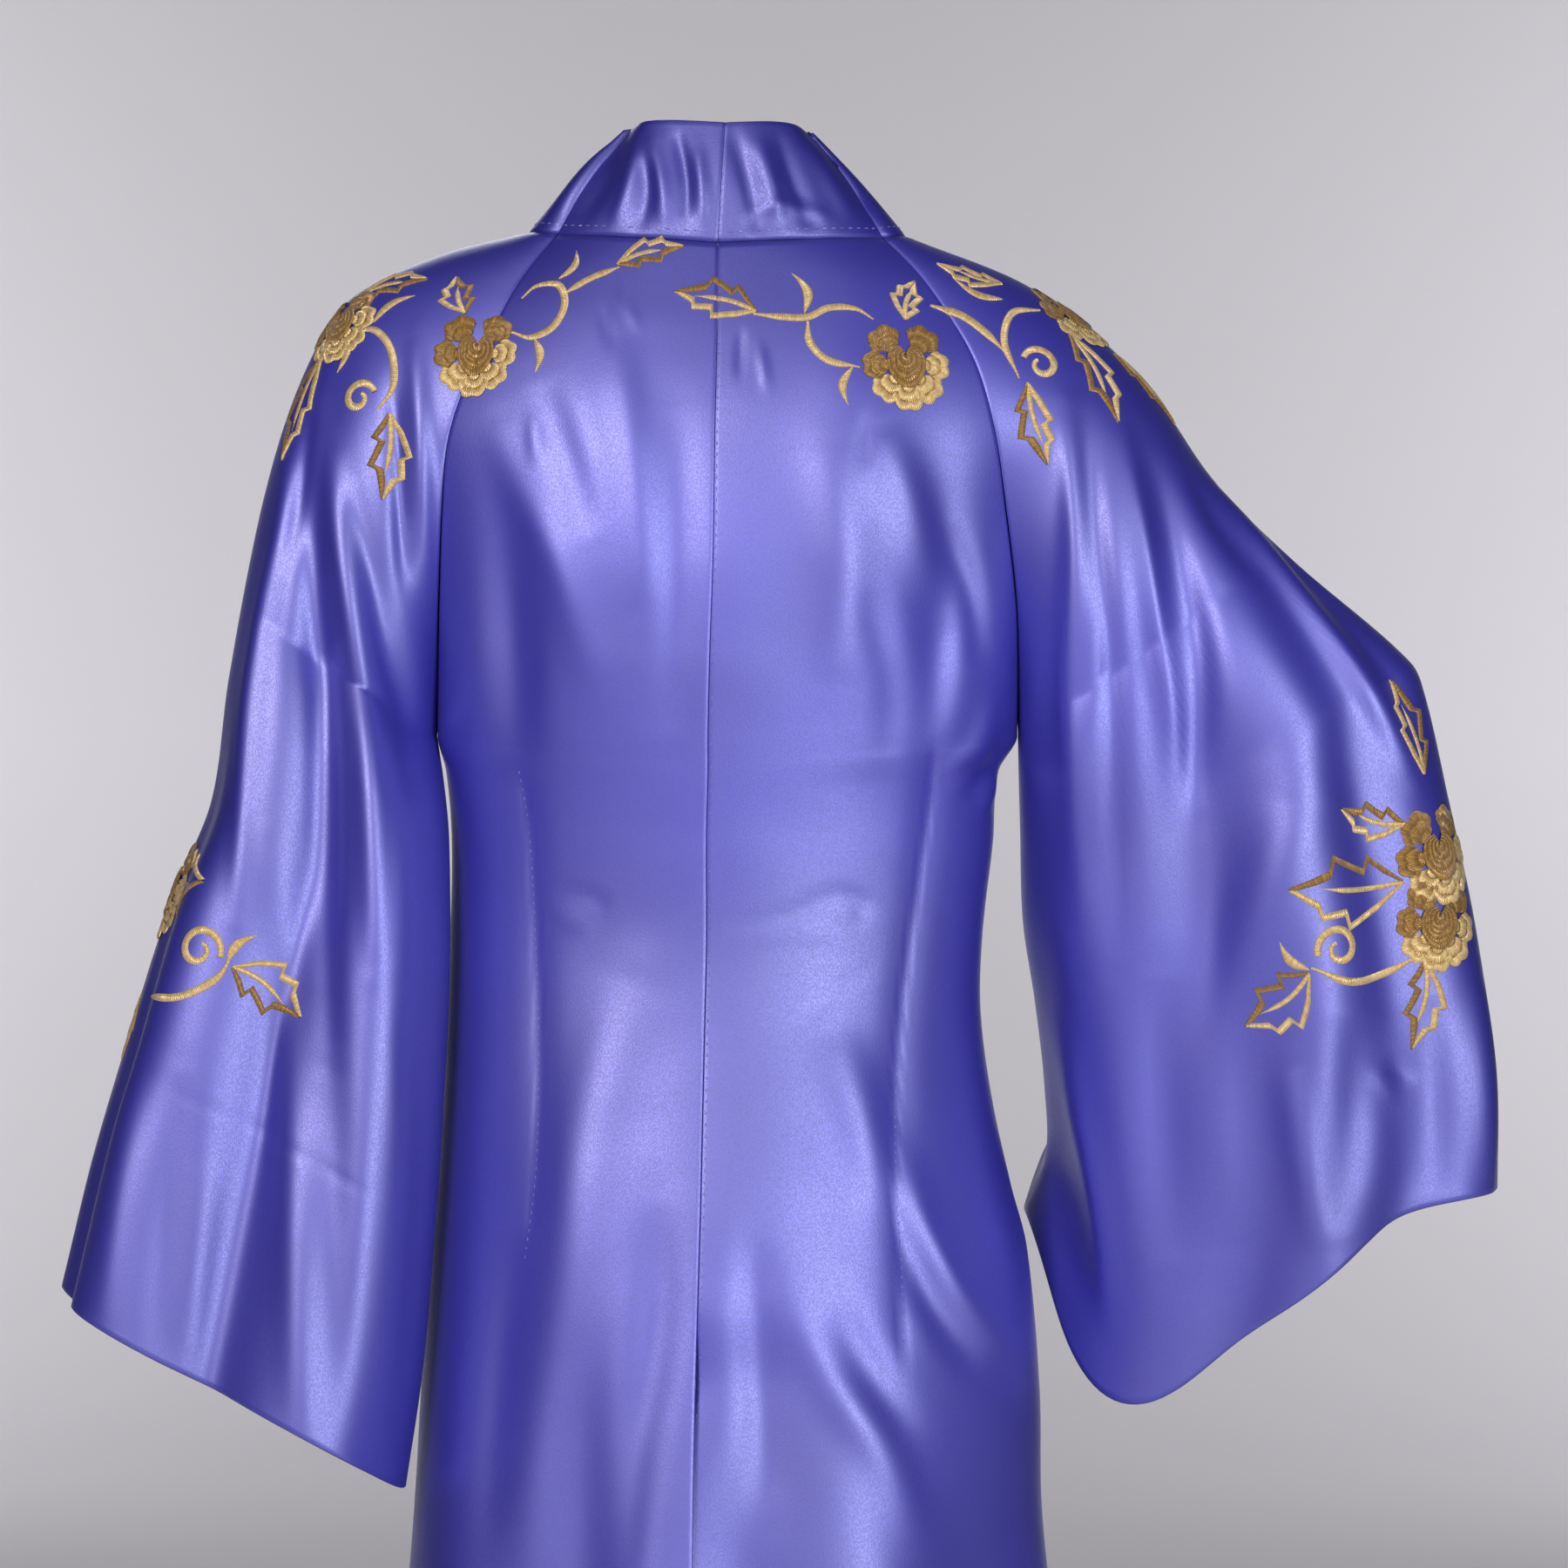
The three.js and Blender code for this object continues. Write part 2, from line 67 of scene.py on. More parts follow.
# ---------- tables: one row for each section ----------
def table(columns, rows):
    values = np.array(rows, float)
    return {name: values[:, i] for i, name in enumerate(columns.split())}


BODY = table("z backX leftX rightX sideY backY", [
    (-6, 0, 162, -172, 8, 62), (-25, 0, 162, -172, 8, 73), (-60, 0, 162, -172, 8, 88),
    (-110, 1, 162, -172, 8, 101), (-180, 2, 162, -172, 8, 108), (-240, 4, 162, -172, 8, 105),
    (-285, 5, 162, -172, 8, 99), (-305, 5, 157, -161, 8, 96), (-345, 6, 154, -158, 6, 90),
    (-400, 6, 155, -152, 5, 85), (-445, 7, 157, -151, 4, 87), (-496, 8, 160, -158, 2, 95),
    (-545, 9, 164, -169, 0, 104), (-580, 10, 167, -178, 0, 109), (-660, 12, 172, -185, 0, 119),
    (-732, 13, 177, -186, 0, 126), (-900, 14, 193, -200, 0, 138), (-1100, 14, 208, -216, 0, 150),
    (-1370, 14, 228, -236, 0, 168),
])
FRONT_EDGE = table("share x y z", [
    (0, 102, -37, -18), (0.03, 97, -62, -50), (0.065, 93, -84, -95), (0.11, 91, -105, -150),
    (0.16, 88, -118, -215), (0.22, 86, -113, -297), (0.30, 84, -101, -400), (0.41, 88, -117, -550),
    (0.49, 92, -129, -660), (0.66, 100, -144, -900), (1, 115, -166, HEM_Z),
])
BACK_RAGLAN = {
    "left": table("v x y z", [
        (0, 92, 32, 2), (0.04, 108, 50, -20), (0.08, 121, 63, -43), (0.15, 143, 75, -90),
        (0.19, 152, 76, -120), (0.24, 156, 68, -160), (0.32, 159, 46, -215), (0.42, 162, 8, -285),
    ]),
    "right": table("v x y z", [
        (0, -94, 32, 0), (0.04, -113, 50, -21), (0.08, -130, 63, -46), (0.13, -146, 73, -76),
        (0.18, -156, 76, -112), (0.23, -162, 68, -150), (0.32, -170, 46, -215), (0.42, -172, 8, -285),
    ]),
}
FRONT_RAGLAN = table("v x y z", [
    (0, 104, -30, -12), (0.05, 112, -50, -35), (0.10, 122, -68, -62), (0.16, 138, -80, -98),
    (0.22, 149, -82, -138), (0.28, 156, -72, -175), (0.35, 161, -45, -230), (0.42, 162, 8, -285),
])
SLEEVE_TOP = {
    "left": table("v x y z", [
        (0, 110, 5, 5), (0.075, 162, 5, -8), (0.155, 212, 6, -33), (0.22, 237, 8, -72),
        (0.325, 260, 12, -142), (0.48, 281, 18, -251), (0.585, 291, 22, -322), (0.66, 312, 25, -374),
        (0.785, 338, 28, -459), (0.885, 358, 30, -526), (1, 376, 32, -600),
    ]),
    "right": table("v x y z", [
        (0, -108, 5, 3), (0.115, -182, 6, -28), (0.23, -242, 10, -78), (0.34, -286, 14, -140),
        (0.43, -330, 18, -184), (0.555, -396, 22, -242), (0.59, -405, 22, -262), (0.67, -418, 18, -318),
        (0.767, -433, 10, -384), (0.84, -442, 4, -435), (0.916, -449, -2, -487), (1, -450, -8, -545),
    ]),
}
UNDERARM_SEAM = {
    "left": table("v x y z", [
        (0.42, 162, 8, -285), (0.46, 157, 21, -315), (0.50, 154, 29, -345), (0.60, 153, 37, -419),
        (0.70, 156, 42, -494), (0.80, 161, 46, -568), (0.90, 167, 49, -641), (1, 177, 52, -711),
    ]),
    "right": table("v x y z", [
        (0.42, -172, 8, -285), (0.52, -174, -6, -335), (0.64, -176, -20, -390), (0.76, -184, -34, -440),
        (0.87, -190, -46, -490), (0.95, -191, -58, -532), (1, -179, -70, -563),
    ]),
}
SLEEVE_HALF = {
    "left": {
        "back": table("v depth drop turn", [
            (0, 27, 0, 90), (0.08, 42, 0, 90), (0.16, 56, 0, 92), (0.25, 62, 0, 125),
            (0.42, 64, 0, 178), (0.7, 68, 0, 180), (1, 76, -6, 180),
        ]),
        "front": table("v depth drop turn", [
            (0, 33, 0, 90), (0.08, 46, 0, 90), (0.16, 58, 0, 92), (0.25, 62, 0, 118),
            (0.42, 62, 0, 150), (0.55, 58, 0, 125), (0.7, 58, 0, 120), (1, 66, -6, 120),
        ]),
    },
    "right": {
        "back": table("v depth drop turn", [
            (0, 27, 0, 90), (0.08, 42, 0, 90), (0.16, 56, 0, 92), (0.25, 62, 0, 125),
            (0.42, 66, 0, 178), (0.6, 74, 8, 180), (0.8, 84, 42, 180), (1, 92, 104, 180),
        ]),
        "front": table("v depth drop turn", [
            (0, 33, 0, 90), (0.08, 46, 0, 90), (0.16, 58, 0, 92), (0.25, 62, 0, 118),
            (0.42, 62, 0, 165), (0.6, 62, 0, 170), (0.8, 60, -8, 170), (1, 60, -52, 170),
        ]),
    },
}
BACK_NECK_TURN = 58         # the angle of a row's curve, in degrees, at the top of the raglan seam
FRONT_NECK_TURN = 55
FRONT_EDGE_TURN = 28        # at the front edge
SIDE_TURN = 90              # and at the side seam
BACK_DROP_SKEW = 2.3
FRONT_DROP_SKEW = 5
BAND_REACH = table("along x y z", [
    (0, 0, -10, 69), (60, -19, -12, 67), (100, -42, -13, 61), (130, -55, 0, 57),
    (170, -58, 7, 53), (215, -62, -3, 44), (265, -67, -9, 26), (320, -70, -9, 9),
    (390, -71, -6, 1), (600, -71, -4, 0), (1500, -71, -5, 0),
])
BAND_BULGE = 3
BAND_SEAM_LEAN = -4
BAND_LEAN_LENGTH = 60

# ---------- folds ----------
BODY_FOLDS = table("top foot width depth startZ fullZ", [
    (40, 30, 13, -9, -520, -760), (62, 58, 12, 10, -560, -900), (18, 14, 9, 7, -560, -900),
    (-22, -20, 11, -7, -560, -800), (-42, -44, 12, 9, -540, -860), (-66, -68, 13, -9, -560, -900),
    (86, 84, 12, -9, -640, -1100), (-90, -88, 12, 8, -640, -1100), (112, 112, 11, 9, -560, -1000),
    (-114, -114, 12, 9, -560, -1000), (134, 132, 10, -8, -600, -1050), (-132, -136, 10, -8, -600, -1050),
])
BACK_DRAPE = table("x z wide high depth", [
    (78, -150, 34, 90, 5), (-80, -150, 34, 90, 5), (118, -225, 16, 75, -7), (-126, -220, 16, 75, -7),
])
SLEEVE_FOLDS = {
    "left": table("top foot width depth startV fullV", [
        (0.44, 0.47, 0.10, -22, 0.14, 0.75), (0.26, 0.25, 0.09, 11, 0.20, 0.80),
        (0.66, 0.70, 0.10, 12, 0.22, 0.80), (0.10, 0.09, 0.07, -8, 0.45, 0.95),
        (-0.20, -0.18, 0.09, 10, 0.30, 0.80), (-0.40, -0.42, 0.10, -15, 0.25, 0.80),
        (-0.64, -0.66, 0.10, 10, 0.30, 0.85),
    ]),
    "right": table("top foot width depth startV fullV", [
        (0.60, 0.74, 0.11, 14, 0.16, 0.70), (0.42, 0.56, 0.09, -11, 0.16, 0.62),
        (0.30, 0.44, 0.09, 10, 0.30, 0.80), (0.16, 0.30, 0.07, -8, 0.30, 0.62),
        (0.12, 0.18, 0.08, 8, 0.60, 0.95), (-0.25, -0.22, 0.10, 9, 0.25, 0.80),
        (-0.45, -0.42, 0.10, -10, 0.25, 0.80), (-0.70, -0.66, 0.10, 8, 0.35, 0.85),
    ]),
}
# Creases seen from behind: height and half width in mm, then the points (right, up) that each runs through.
BACK_CREASES = [
    (3.0, 12, (-126, -104), (-110, -150), (-86, -200), (-66, -262)),
    (-2.6, 11, (-100, -84), (-84, -130), (-70, -176)),
    (2.0, 10, (-58, -60), (-46, -130), (-40, -220)),
    (-2.2, 12, (-22, -100), (-20, -190), (-26, -290)),
    (-2.6, 10, (-118, -180), (-112, -240), (-110, -300)),
    (3.2, 12, (92, -112), (110, -160), (122, -214)),
    (-3.2, 9, (128, -166), (144, -206), (150, -250)),
    (2.2, 10, (134, -226), (132, -270), (124, -300)),
    (2.0, 13, (58, -120), (72, -190), (68, -260)),
    (-1.8, 10, (84, -200), (98, -256), (96, -300)),
    (-0.7, 5, (0, -392), (36, -388), (70, -375), (112, -392)),
    (0.55, 4, (18, -399), (52, -396), (84, -404)),
    (-0.55, 4, (70, -372), (84, -384), (78, -394)),
    (-0.6, 4, (-96, -376), (-78, -374), (-64, -380), (-74, -398)),
    (0.5, 4, (-90, -388), (-72, -392)),
    (-0.55, 4, (44, -447), (68, -430), (92, -414)),
    (5.0, 20, (-44, -417), (-73, -501), (-86, -606), (-98, -711), (-104, -800)),
    (-4.5, 14, (-34, -540), (-33, -606), (-46, -690), (-54, -800)),
    (-3.6, 12, (-112, -560), (-122, -640), (-130, -740)),
    (-3.0, 12, (20, -560), (24, -640), (30, -720)),
    (3.6, 14, (66, -450), (84, -510), (96, -560)),
    (4.4, 10, (104, -520), (118, -566), (140, -604), (176, -640)),
    (-3.6, 9, (106, -560), (122, -604), (150, -646)),
    (3.2, 11, (40, -600), (62, -644), (92, -684), (116, -740)),
    (-2.8, 10, (66, -600), (86, -640), (112, -680)),
    (1.8, 6, (158, -262), (148, -290), (128, -306)),
    (-2.4, 5, (168, -280), (158, -300), (140, -322)),
    (2.0, 4, (170, -296), (160, -312), (150, -330)),
    (0.9, 3, (-56, -34), (-44, -56)),
    (-0.9, 3, (-66, -42), (-60, -66)),
    (0.9, 3, (24, -66), (28, -92)),
    (-0.9, 3, (14, -58), (12, -84)),
    (-1.0, 4, (84, -104), (80, -136)),
    (1.0, 4, (-104, -104), (-100, -134)),
]
SLEEVE_CREASES = {
    "left": [
        (-5.0, 8, (-233, -140), (-229, -182), (-227, -218), (-222, -262), (-220, -362), (-217, -470)),
        (5.0, 8, (-220, -115), (-213, -175), (-206, -218), (-200, -262), (-195, -308), (-190, -420)),
        (-5.0, 9, (-209, -140), (-195, -190), (-186, -233), (-175, -276), (-168, -340)),
        (3.0, 5, (-246, -115), (-247, -158), (-256, -204), (-264, -254), (-267, -301), (-270, -390)),
        (3.2, 6, (-172, -56), (-167, -121), (-166, -200)),
        (-3.0, 5, (-184, -84), (-179, -150), (-176, -206)),
        (-2.0, 5, (-232, -92), (-236, -140), (-243, -190)),
        (3.5, 10, (-244, -340), (-242, -400), (-240, -480), (-235, -607), (-229, -690)),
        (-4.0, 13, (-219, -420), (-214, -523), (-214, -690)),
        (2.5, 8, (-180, -450), (-177, -522), (-190, -700)),
        (3.0, 10, (-327, -470), (-344, -620)),
        (-2.4, 10, (-300, -470), (-314, -640)),
        (1.8, 8, (-284, -520), (-298, -660)),
        (-0.35, 3, (-307, -484), (-250, -510), (-181, -548)),
    ],
    "right": [
        (4.5, 7, (196, -96), (201, -175), (199, -254), (203, -326), (206, -400)),
        (-4.0, 8, (208, -90), (214, -175), (221, -236), (224, -330), (226, -420)),
        (5.0, 8, (226, -100), (238, -160), (247, -215), (257, -275), (262, -330)),
        (-5.0, 10, (246, -120), (260, -180), (271, -254), (266, -330)),
        (5.0, 7, (282, -140), (329, -204), (365, -254), (396, -312)),
        (-4.5, 8, (294, -138), (342, -198), (380, -248), (404, -296)),
        (-2.4, 6, (268, -130), (282, -160), (306, -196)),
        (6.0, 18, (330, -320), (300, -400), (286, -485), (293, -580)),
        (-4.0, 14, (250, -420), (252, -500), (258, -590)),
        (3.5, 9, (322, -470), (330, -520), (342, -580)),
        (-5.5, 15, (362, -440), (360, -500), (356, -570)),
        (3.2, 8, (434, -420), (438, -480), (440, -545)),
        (-3.0, 12, (404, -430), (408, -550)),
        (4.0, 7, (190, -430), (206, -500), (217, -560), (224, -623)),
        (-4.5, 10, (196, -510), (202, -560), (208, -610)),
        (1.2, 4, (372, -474), (384, -492)),
        (-1.2, 4, (380, -468), (394, -482)),
    ],
}
COLLAR_CREASES = [
    (2.4, 6, (-94, 14), (-78, 36), (-62, 58)),
    (-2.4, 6, (-80, 8), (-66, 30), (-54, 56)),
    (2.2, 5, (-60, 4), (-52, 24), (-46, 52)),
    (-2.0, 5, (-46, 0), (-40, 22), (-40, 46)),
    (2.6, 5, (-30, 2), (-32, 26), (-40, 58)),
    (-2.6, 4, (-18, 6), (-18, 30), (-24, 60)),
    (1.6, 4, (-8, 4), (-9, 26), (-12, 50)),
    (-2.4, 5, (22, -2), (18, 26), (8, 60)),
    (2.6, 5, (36, 4), (30, 28), (22, 56)),
    (-2.4, 5, (54, 2), (44, 28), (34, 58)),
    (2.4, 6, (78, 10), (64, 32), (50, 58)),
    (-1.8, 5, (94, 10), (80, 30)),
    (1.4, 4, (14, 10), (40, 16), (66, 8)),
]
DARTS = [
    ((-113, -300), (-107, -335), (-103, -400), (-101, -464), (-102, -531), (-108, -580)),
    ((121, -280), (123, -300), (117, -346), (106, -424), (101, -478), (100, -518), (104, -600), (104, -652)),
]


# ---------- small helpers ----------
def read(rows, key, column, at):
    """A smooth curve through one column of a table, read at values of its key column."""
    sign = 1 if rows[key][-1] > rows[key][0] else -1
    keys, values = rows[key] * sign, rows[column]
    at = np.asarray(at, float) * sign
    i = np.clip(np.searchsorted(keys, at, side="left") - 1, 0, len(keys) - 2)
    slopes = np.empty_like(values)
    slopes[1:-1] = (values[2:] - values[:-2]) / (keys[2:] - keys[:-2])
    slopes[0] = (values[1] - values[0]) / (keys[1] - keys[0])
    slopes[-1] = (values[-1] - values[-2]) / (keys[-1] - keys[-2])
    span = keys[i + 1] - keys[i]
    t = np.clip((at - keys[i]) / span, 0, 1)
    t2, t3 = t * t, t * t * t
    return (values[i] * (2 * t3 - 3 * t2 + 1) + slopes[i] * span * (t3 - 2 * t2 + t)
            + values[i + 1] * (3 * t2 - 2 * t3) + slopes[i + 1] * span * (t3 - t2))


def read_points(rows, key, at):
    return np.stack([read(rows, key, axis, at) for axis in "xyz"], axis=-1)


def ease(start, end, value):
    t = np.clip((value - start) / (end - start), 0, 1)
    return t * t * (3 - 2 * t)


def unit(vectors):
    lengths = np.linalg.norm(vectors, axis=-1, keepdims=True)
    return vectors / np.maximum(lengths, 1e-9)


def distance_along(points):
    """How far along a line each of its points lies."""
    return np.concatenate([[0], np.cumsum(np.linalg.norm(np.diff(points, axis=0), axis=1))])


def smooth_line(points, step):
    """Points every step mm on a smooth line through the given ones."""
    points = np.array(points, float)
    along = distance_along(points)
    rows = {"s": along}
    rows.update({str(i): points[:, i] for i in range(points.shape[1])})
    at = np.linspace(0, along[-1], max(3, int(along[-1] / step)))
    return np.stack([read(rows, "s", str(i), at) for i in range(points.shape[1])], axis=-1)


def seam_spacing(count):
    """Shares from 0 to 1 that lie closer together near both ends, where the seams are."""
    t = np.linspace(0, 1, count + 1)
    return t - SEAM_CROWDING * np.sin(2 * np.pi * t) / (2 * np.pi)


# ---------- cloth surfaces ----------
RAGLAN_SHARES = np.linspace(0, 1, RAGLAN_ROWS + 1)
BODY_SHARES = np.linspace(0, 1, BODY_ROWS + 1)[1:] ** BODY_CROWDING
SLEEVE_SHARES = np.linspace(0, 1, SLEEVE_ROWS + 1)[1:]


def back_raglan(side, share):
    return read_points(BACK_RAGLAN[side], "v", share * UNDERARM_V)


def front_raglan(side, share):
    points = read_points(FRONT_RAGLAN, "v", share * UNDERARM_V)
    spread = abs(back_raglan(side, 1.0)[0]) - back_raglan("left", 1.0)[0]
    points[..., 0] = SIDES[side] * (points[..., 0] + spread * ease(0.2, 1, share))
    return points


def body_line(names, z):
    return np.stack([read(BODY, "z", names[0], z), read(BODY, "z", names[1], z), z], axis=-1)


def centre_back():
    z = np.concatenate([BODY["z"][0] + (CENTRE_BACK_AT_UNDERARM_Z - BODY["z"][0]) * RAGLAN_SHARES,
                        CENTRE_BACK_AT_UNDERARM_Z + (HEM_Z - CENTRE_BACK_AT_UNDERARM_Z) * BODY_SHARES])
    return body_line(("backX", "backY"), z)


def side_seam(side):
    top = back_raglan(side, 1.0)[2]
    return body_line((side + "X", "sideY"), top + (HEM_Z - top) * BODY_SHARES)


def front_edge(side):
    underarm = FRONT_EDGE_AT_UNDERARM
    at = np.concatenate([underarm * RAGLAN_SHARES, underarm + (1 - underarm) * BODY_SHARES])
    points = read_points(FRONT_EDGE, "share", at)
    points[:, 0] *= SIDES[side]
    return points


def turned_rows(start, end, first, last, t):
    """Rows of points that each turn through the given angles from start to end."""
    first = np.radians(first)
    last = np.radians(last)[:, None]
    angle = first + (last - first) * t
    across = (np.sin(angle) - np.sin(first)) / (np.sin(last) - np.sin(first))
    inward = (np.cos(first) - np.cos(angle)) / (np.cos(first) - np.cos(last))
    shares = np.stack([across, inward, np.broadcast_to(t, angle.shape)], axis=-1)
    return start[:, None] + (end - start)[:, None] * shares


def side_turn(neck_turn):
    """The angle of each row at its side edge, in degrees, from the neck down."""
    raglan = neck_turn + (SIDE_TURN - neck_turn) * ease(0.4, 1, RAGLAN_SHARES)
    return np.concatenate([raglan, np.full(BODY_ROWS, float(SIDE_TURN))])


def fold_body(grid):
    z = np.clip(grid[..., 2], HEM_Z, BODY["z"][0])
    out = np.stack([grid[..., 0] - read(BODY, "z", "backX", z), grid[..., 1], 0 * z], axis=-1)
    angle = np.degrees(np.arctan2(out[..., 0], out[..., 1]))
    out = unit(out)
    for top, foot, width, depth, start, full in zip(*BODY_FOLDS.values()):
        grown = ease(start, full, grid[..., 2])
        offset = angle - (top + (foot - top) * grown)
        offset -= 360 * np.round(offset / 360)
        grid = grid + out * (depth * grown * np.exp(-(offset / width) ** 2))[..., None]
    return grid


def back_panel(side):
    t = seam_spacing(BACK_COLUMNS)
    end = np.concatenate([back_raglan(side, RAGLAN_SHARES), side_seam(side)])
    grid = turned_rows(centre_back(), end, 0, side_turn(BACK_NECK_TURN), t)
    for x, z, wide, high, depth in zip(*BACK_DRAPE.values()):
        spread = np.exp(-((grid[..., 0] - x) / wide) ** 2 - ((grid[..., 2] - z) / high) ** 2)
        grid[..., 1] += depth * spread * (1 - t ** 4)
    grid = fold_body(grid)
    if side == "right":
        near = (1 - t) ** 4
        z = grid[:, :1, 2]
        grid[..., 1] -= VENT_DEPTH * near * ease(VENT_TOP_Z, VENT_SUNK_Z, z)
        grid[..., 0] += VENT_UNDERLAP * near * ease(VENT_SUNK_Z, VENT_LAPPED_Z, z)
    return grid


def front_panel(side):
    end = np.concatenate([front_raglan(side, RAGLAN_SHARES), side_seam(side)])
    grid = turned_rows(front_edge(side), end, FRONT_EDGE_TURN, side_turn(FRONT_NECK_TURN),
                       seam_spacing(FRONT_COLUMNS))
    return fold_body(grid)


def sleeve_half(side, half, v, top, edge, t):
    rows = SLEEVE_HALF[side][half]
    facing = 1 if half == "back" else -1
    skew = BACK_DROP_SKEW if half == "back" else FRONT_DROP_SKEW
    turn = np.radians(read(rows, "v", "turn", v))[:, None]
    angle = turn * t
    across = (1 - np.cos(angle)) / (1 - np.cos(turn))
    grid = top[:, None] + (edge - top)[:, None] * across[..., None]
    depth = read(rows, "v", "depth", v)[:, None]
    grid[..., 1] += facing * depth * (np.sin(angle) - np.sin(turn) * across)
    grid[..., 2] -= read(rows, "v", "drop", v)[:, None] * np.sin(np.pi * across ** skew)
    return grid


def sleeve(side):
    v = np.concatenate([UNDERARM_V * RAGLAN_SHARES, UNDERARM_V + (1 - UNDERARM_V) * SLEEVE_SHARES])
    top = read_points(SLEEVE_TOP[side], "v", v)
    underarm = read_points(UNDERARM_SEAM[side], "v", v[RAGLAN_ROWS + 1:])
    edges = {"back": np.concatenate([back_raglan(side, RAGLAN_SHARES), underarm]),
             "front": np.concatenate([front_raglan(side, RAGLAN_SHARES), underarm])}
    t = np.linspace(0, 1, SLEEVE_COLUMNS + 1)
    t = t + SLEEVE_CROWDING * (t * t * (1 - t))
    back = sleeve_half(side, "back", v, top, edges["back"], t)[:, ::-1]
    front = sleeve_half(side, "front", v, top, edges["front"], t)[:, 1:]
    grid = np.concatenate([back, front], axis=1)
    round_share = np.concatenate([t[::-1], -t[1:]])
    axis = (top + (edges["back"] + edges["front"]) / 2) / 2
    out = unit(grid - axis[:, None])
    free = 1 - np.abs(round_share) ** 6
    for top_place, foot, width, depth, start, full in zip(*SLEEVE_FOLDS[side].values()):
        grown = ease(start, full, v)[:, None]
        place = top_place + (foot - top_place) * grown
        lift = depth * grown * free * np.exp(-((round_share - place) / width) ** 2)
        grid = grid + out * lift[..., None]
    return grid


def collar_band(side, back, sleeve_grid, front):
    seam = np.concatenate([back[0], sleeve_grid[0, 1::3], front[0, ::-1][3::4], front[1:, 0]])
    along = distance_along(seam)
    reach = read_points(BAND_REACH, "along", along)
    reach[:, 0] = reach[:, 0] * SIDES[side] + BAND_SEAM_LEAN * (1 - ease(0, BAND_LEAN_LENGTH, along))
    away = unit(seam * (1, 1, 0))
    t = np.linspace(0, 1, BAND_COLUMNS + 1)
    return (seam[:, None] + reach[:, None] * t[:, None]
            + away[:, None] * (BAND_BULGE * np.sin(np.pi * t))[:, None])


# ---------- creases, seams and hems ----------
CREASES_FULL_AT = 0.35      # the normal's y from which creases have their full height; at 0 they have none
DART_LINE_DEPTH = 0.9
DART_LINE_WIDTH = 1.6
DART_HOLLOW_DEPTH = 1.2
DART_HOLLOW_WIDTH = 9
RIPPLE_HEIGHT = 0.12
RIPPLE_WAVES = 14
RIPPLE_LENGTHS = (35, 110)
SEAM_SINK = 0.4
SEAM_WIDTH = 1.1
SEAM_HALF_GAP = 0.12
FLANGE = 3.0
HEM_WALL = 1.5              # from the outer face to the cloth folded behind it
HEM_DEPTHS = (4, 10, 18, 24)


def grid_normals(grid, facing):
    down = np.gradient(grid, axis=0)
    across = np.gradient(grid, axis=1)
    return unit(np.cross(across, down)) * facing


def line_distance(right, up, points):
    """Distance from a line, and how far along it the nearest place is, from 0 to 1."""
    best = np.full(right.shape, 1e9)
    place = np.zeros(right.shape)
    points = smooth_line(points, step=8)
    last = len(points) - 1
    for k in range(last):
        a, b = points[k], points[k + 1]
        step = b - a
        t = np.clip(((right - a[0]) * step[0] + (up - a[1]) * step[1]) / (step @ step), 0, 1)
        distance = np.hypot(right - a[0] - t * step[0], up - a[1] - t * step[1])
        nearer = distance < best
        best = np.where(nearer, distance, best)
        place = np.where(nearer, (k + t) / last, place)
    return best, place


def crease(grid, normals, creases):
    right, up = -grid[..., 0], grid[..., 2]
    seen = ease(0.0, CREASES_FULL_AT, normals[..., 1])
    lift = np.zeros(right.shape)
    for depth, width, *points in creases:
        distance, place = line_distance(right, up, points)
        fade = np.sin(np.pi * np.clip(place, 0.02, 0.98)) ** 0.7
        lift += depth * fade * np.exp(-(distance / width) ** 2)
    return grid + normals * (lift * seen)[..., None]


def stitch_darts(grid, normals):
    right, up = -grid[..., 0], grid[..., 2]
    for points in DARTS:
        distance, place = line_distance(right, up, points)
        fade = ease(0, 0.06, place) * ease(1, 0.9, place)
        line = -DART_LINE_DEPTH * np.exp(-(distance / DART_LINE_WIDTH) ** 2)
        hollow = DART_HOLLOW_DEPTH * np.exp(-(distance / DART_HOLLOW_WIDTH) ** 2) * fade
        grid = grid + normals * ((line - hollow) * fade)[..., None]
    return grid


def ripple(grid, normals, seed):
    """A faint unevenness, from a few long waves."""
    rng = np.random.default_rng(seed)
    lift = np.zeros(grid.shape[:2])
    for _ in range(RIPPLE_WAVES):
        direction = unit(rng.normal(size=3) * (1, 1, 0.6))
        wave = 2 * np.pi / rng.uniform(*RIPPLE_LENGTHS)
        lift += np.sin(grid @ direction * wave + rng.uniform(0, 6.28)) * rng.uniform(0.4, 1)
    return grid + normals * (lift * RIPPLE_HEIGHT / RIPPLE_WAVES ** 0.5)[..., None]


def sink_seams(grid, normals, edges):
    """Sinks the cloth a little along the sides that are sewn."""
    def distances(axis):
        lengths = np.linalg.norm(np.diff(grid, axis=axis), axis=-1)
        start = np.insert(np.cumsum(lengths, axis=axis), 0, 0, axis=axis)
        return start, np.take(start, [-1], axis=axis) - start
    sides = dict(zip(("first_column", "last_column", "first_row", "last_row"), distances(1) + distances(0)))
    lift = sum(-SEAM_SINK * np.exp(-(sides[edge] / SEAM_WIDTH) ** 2) for edge in edges)
    return grid + normals * lift[..., None]


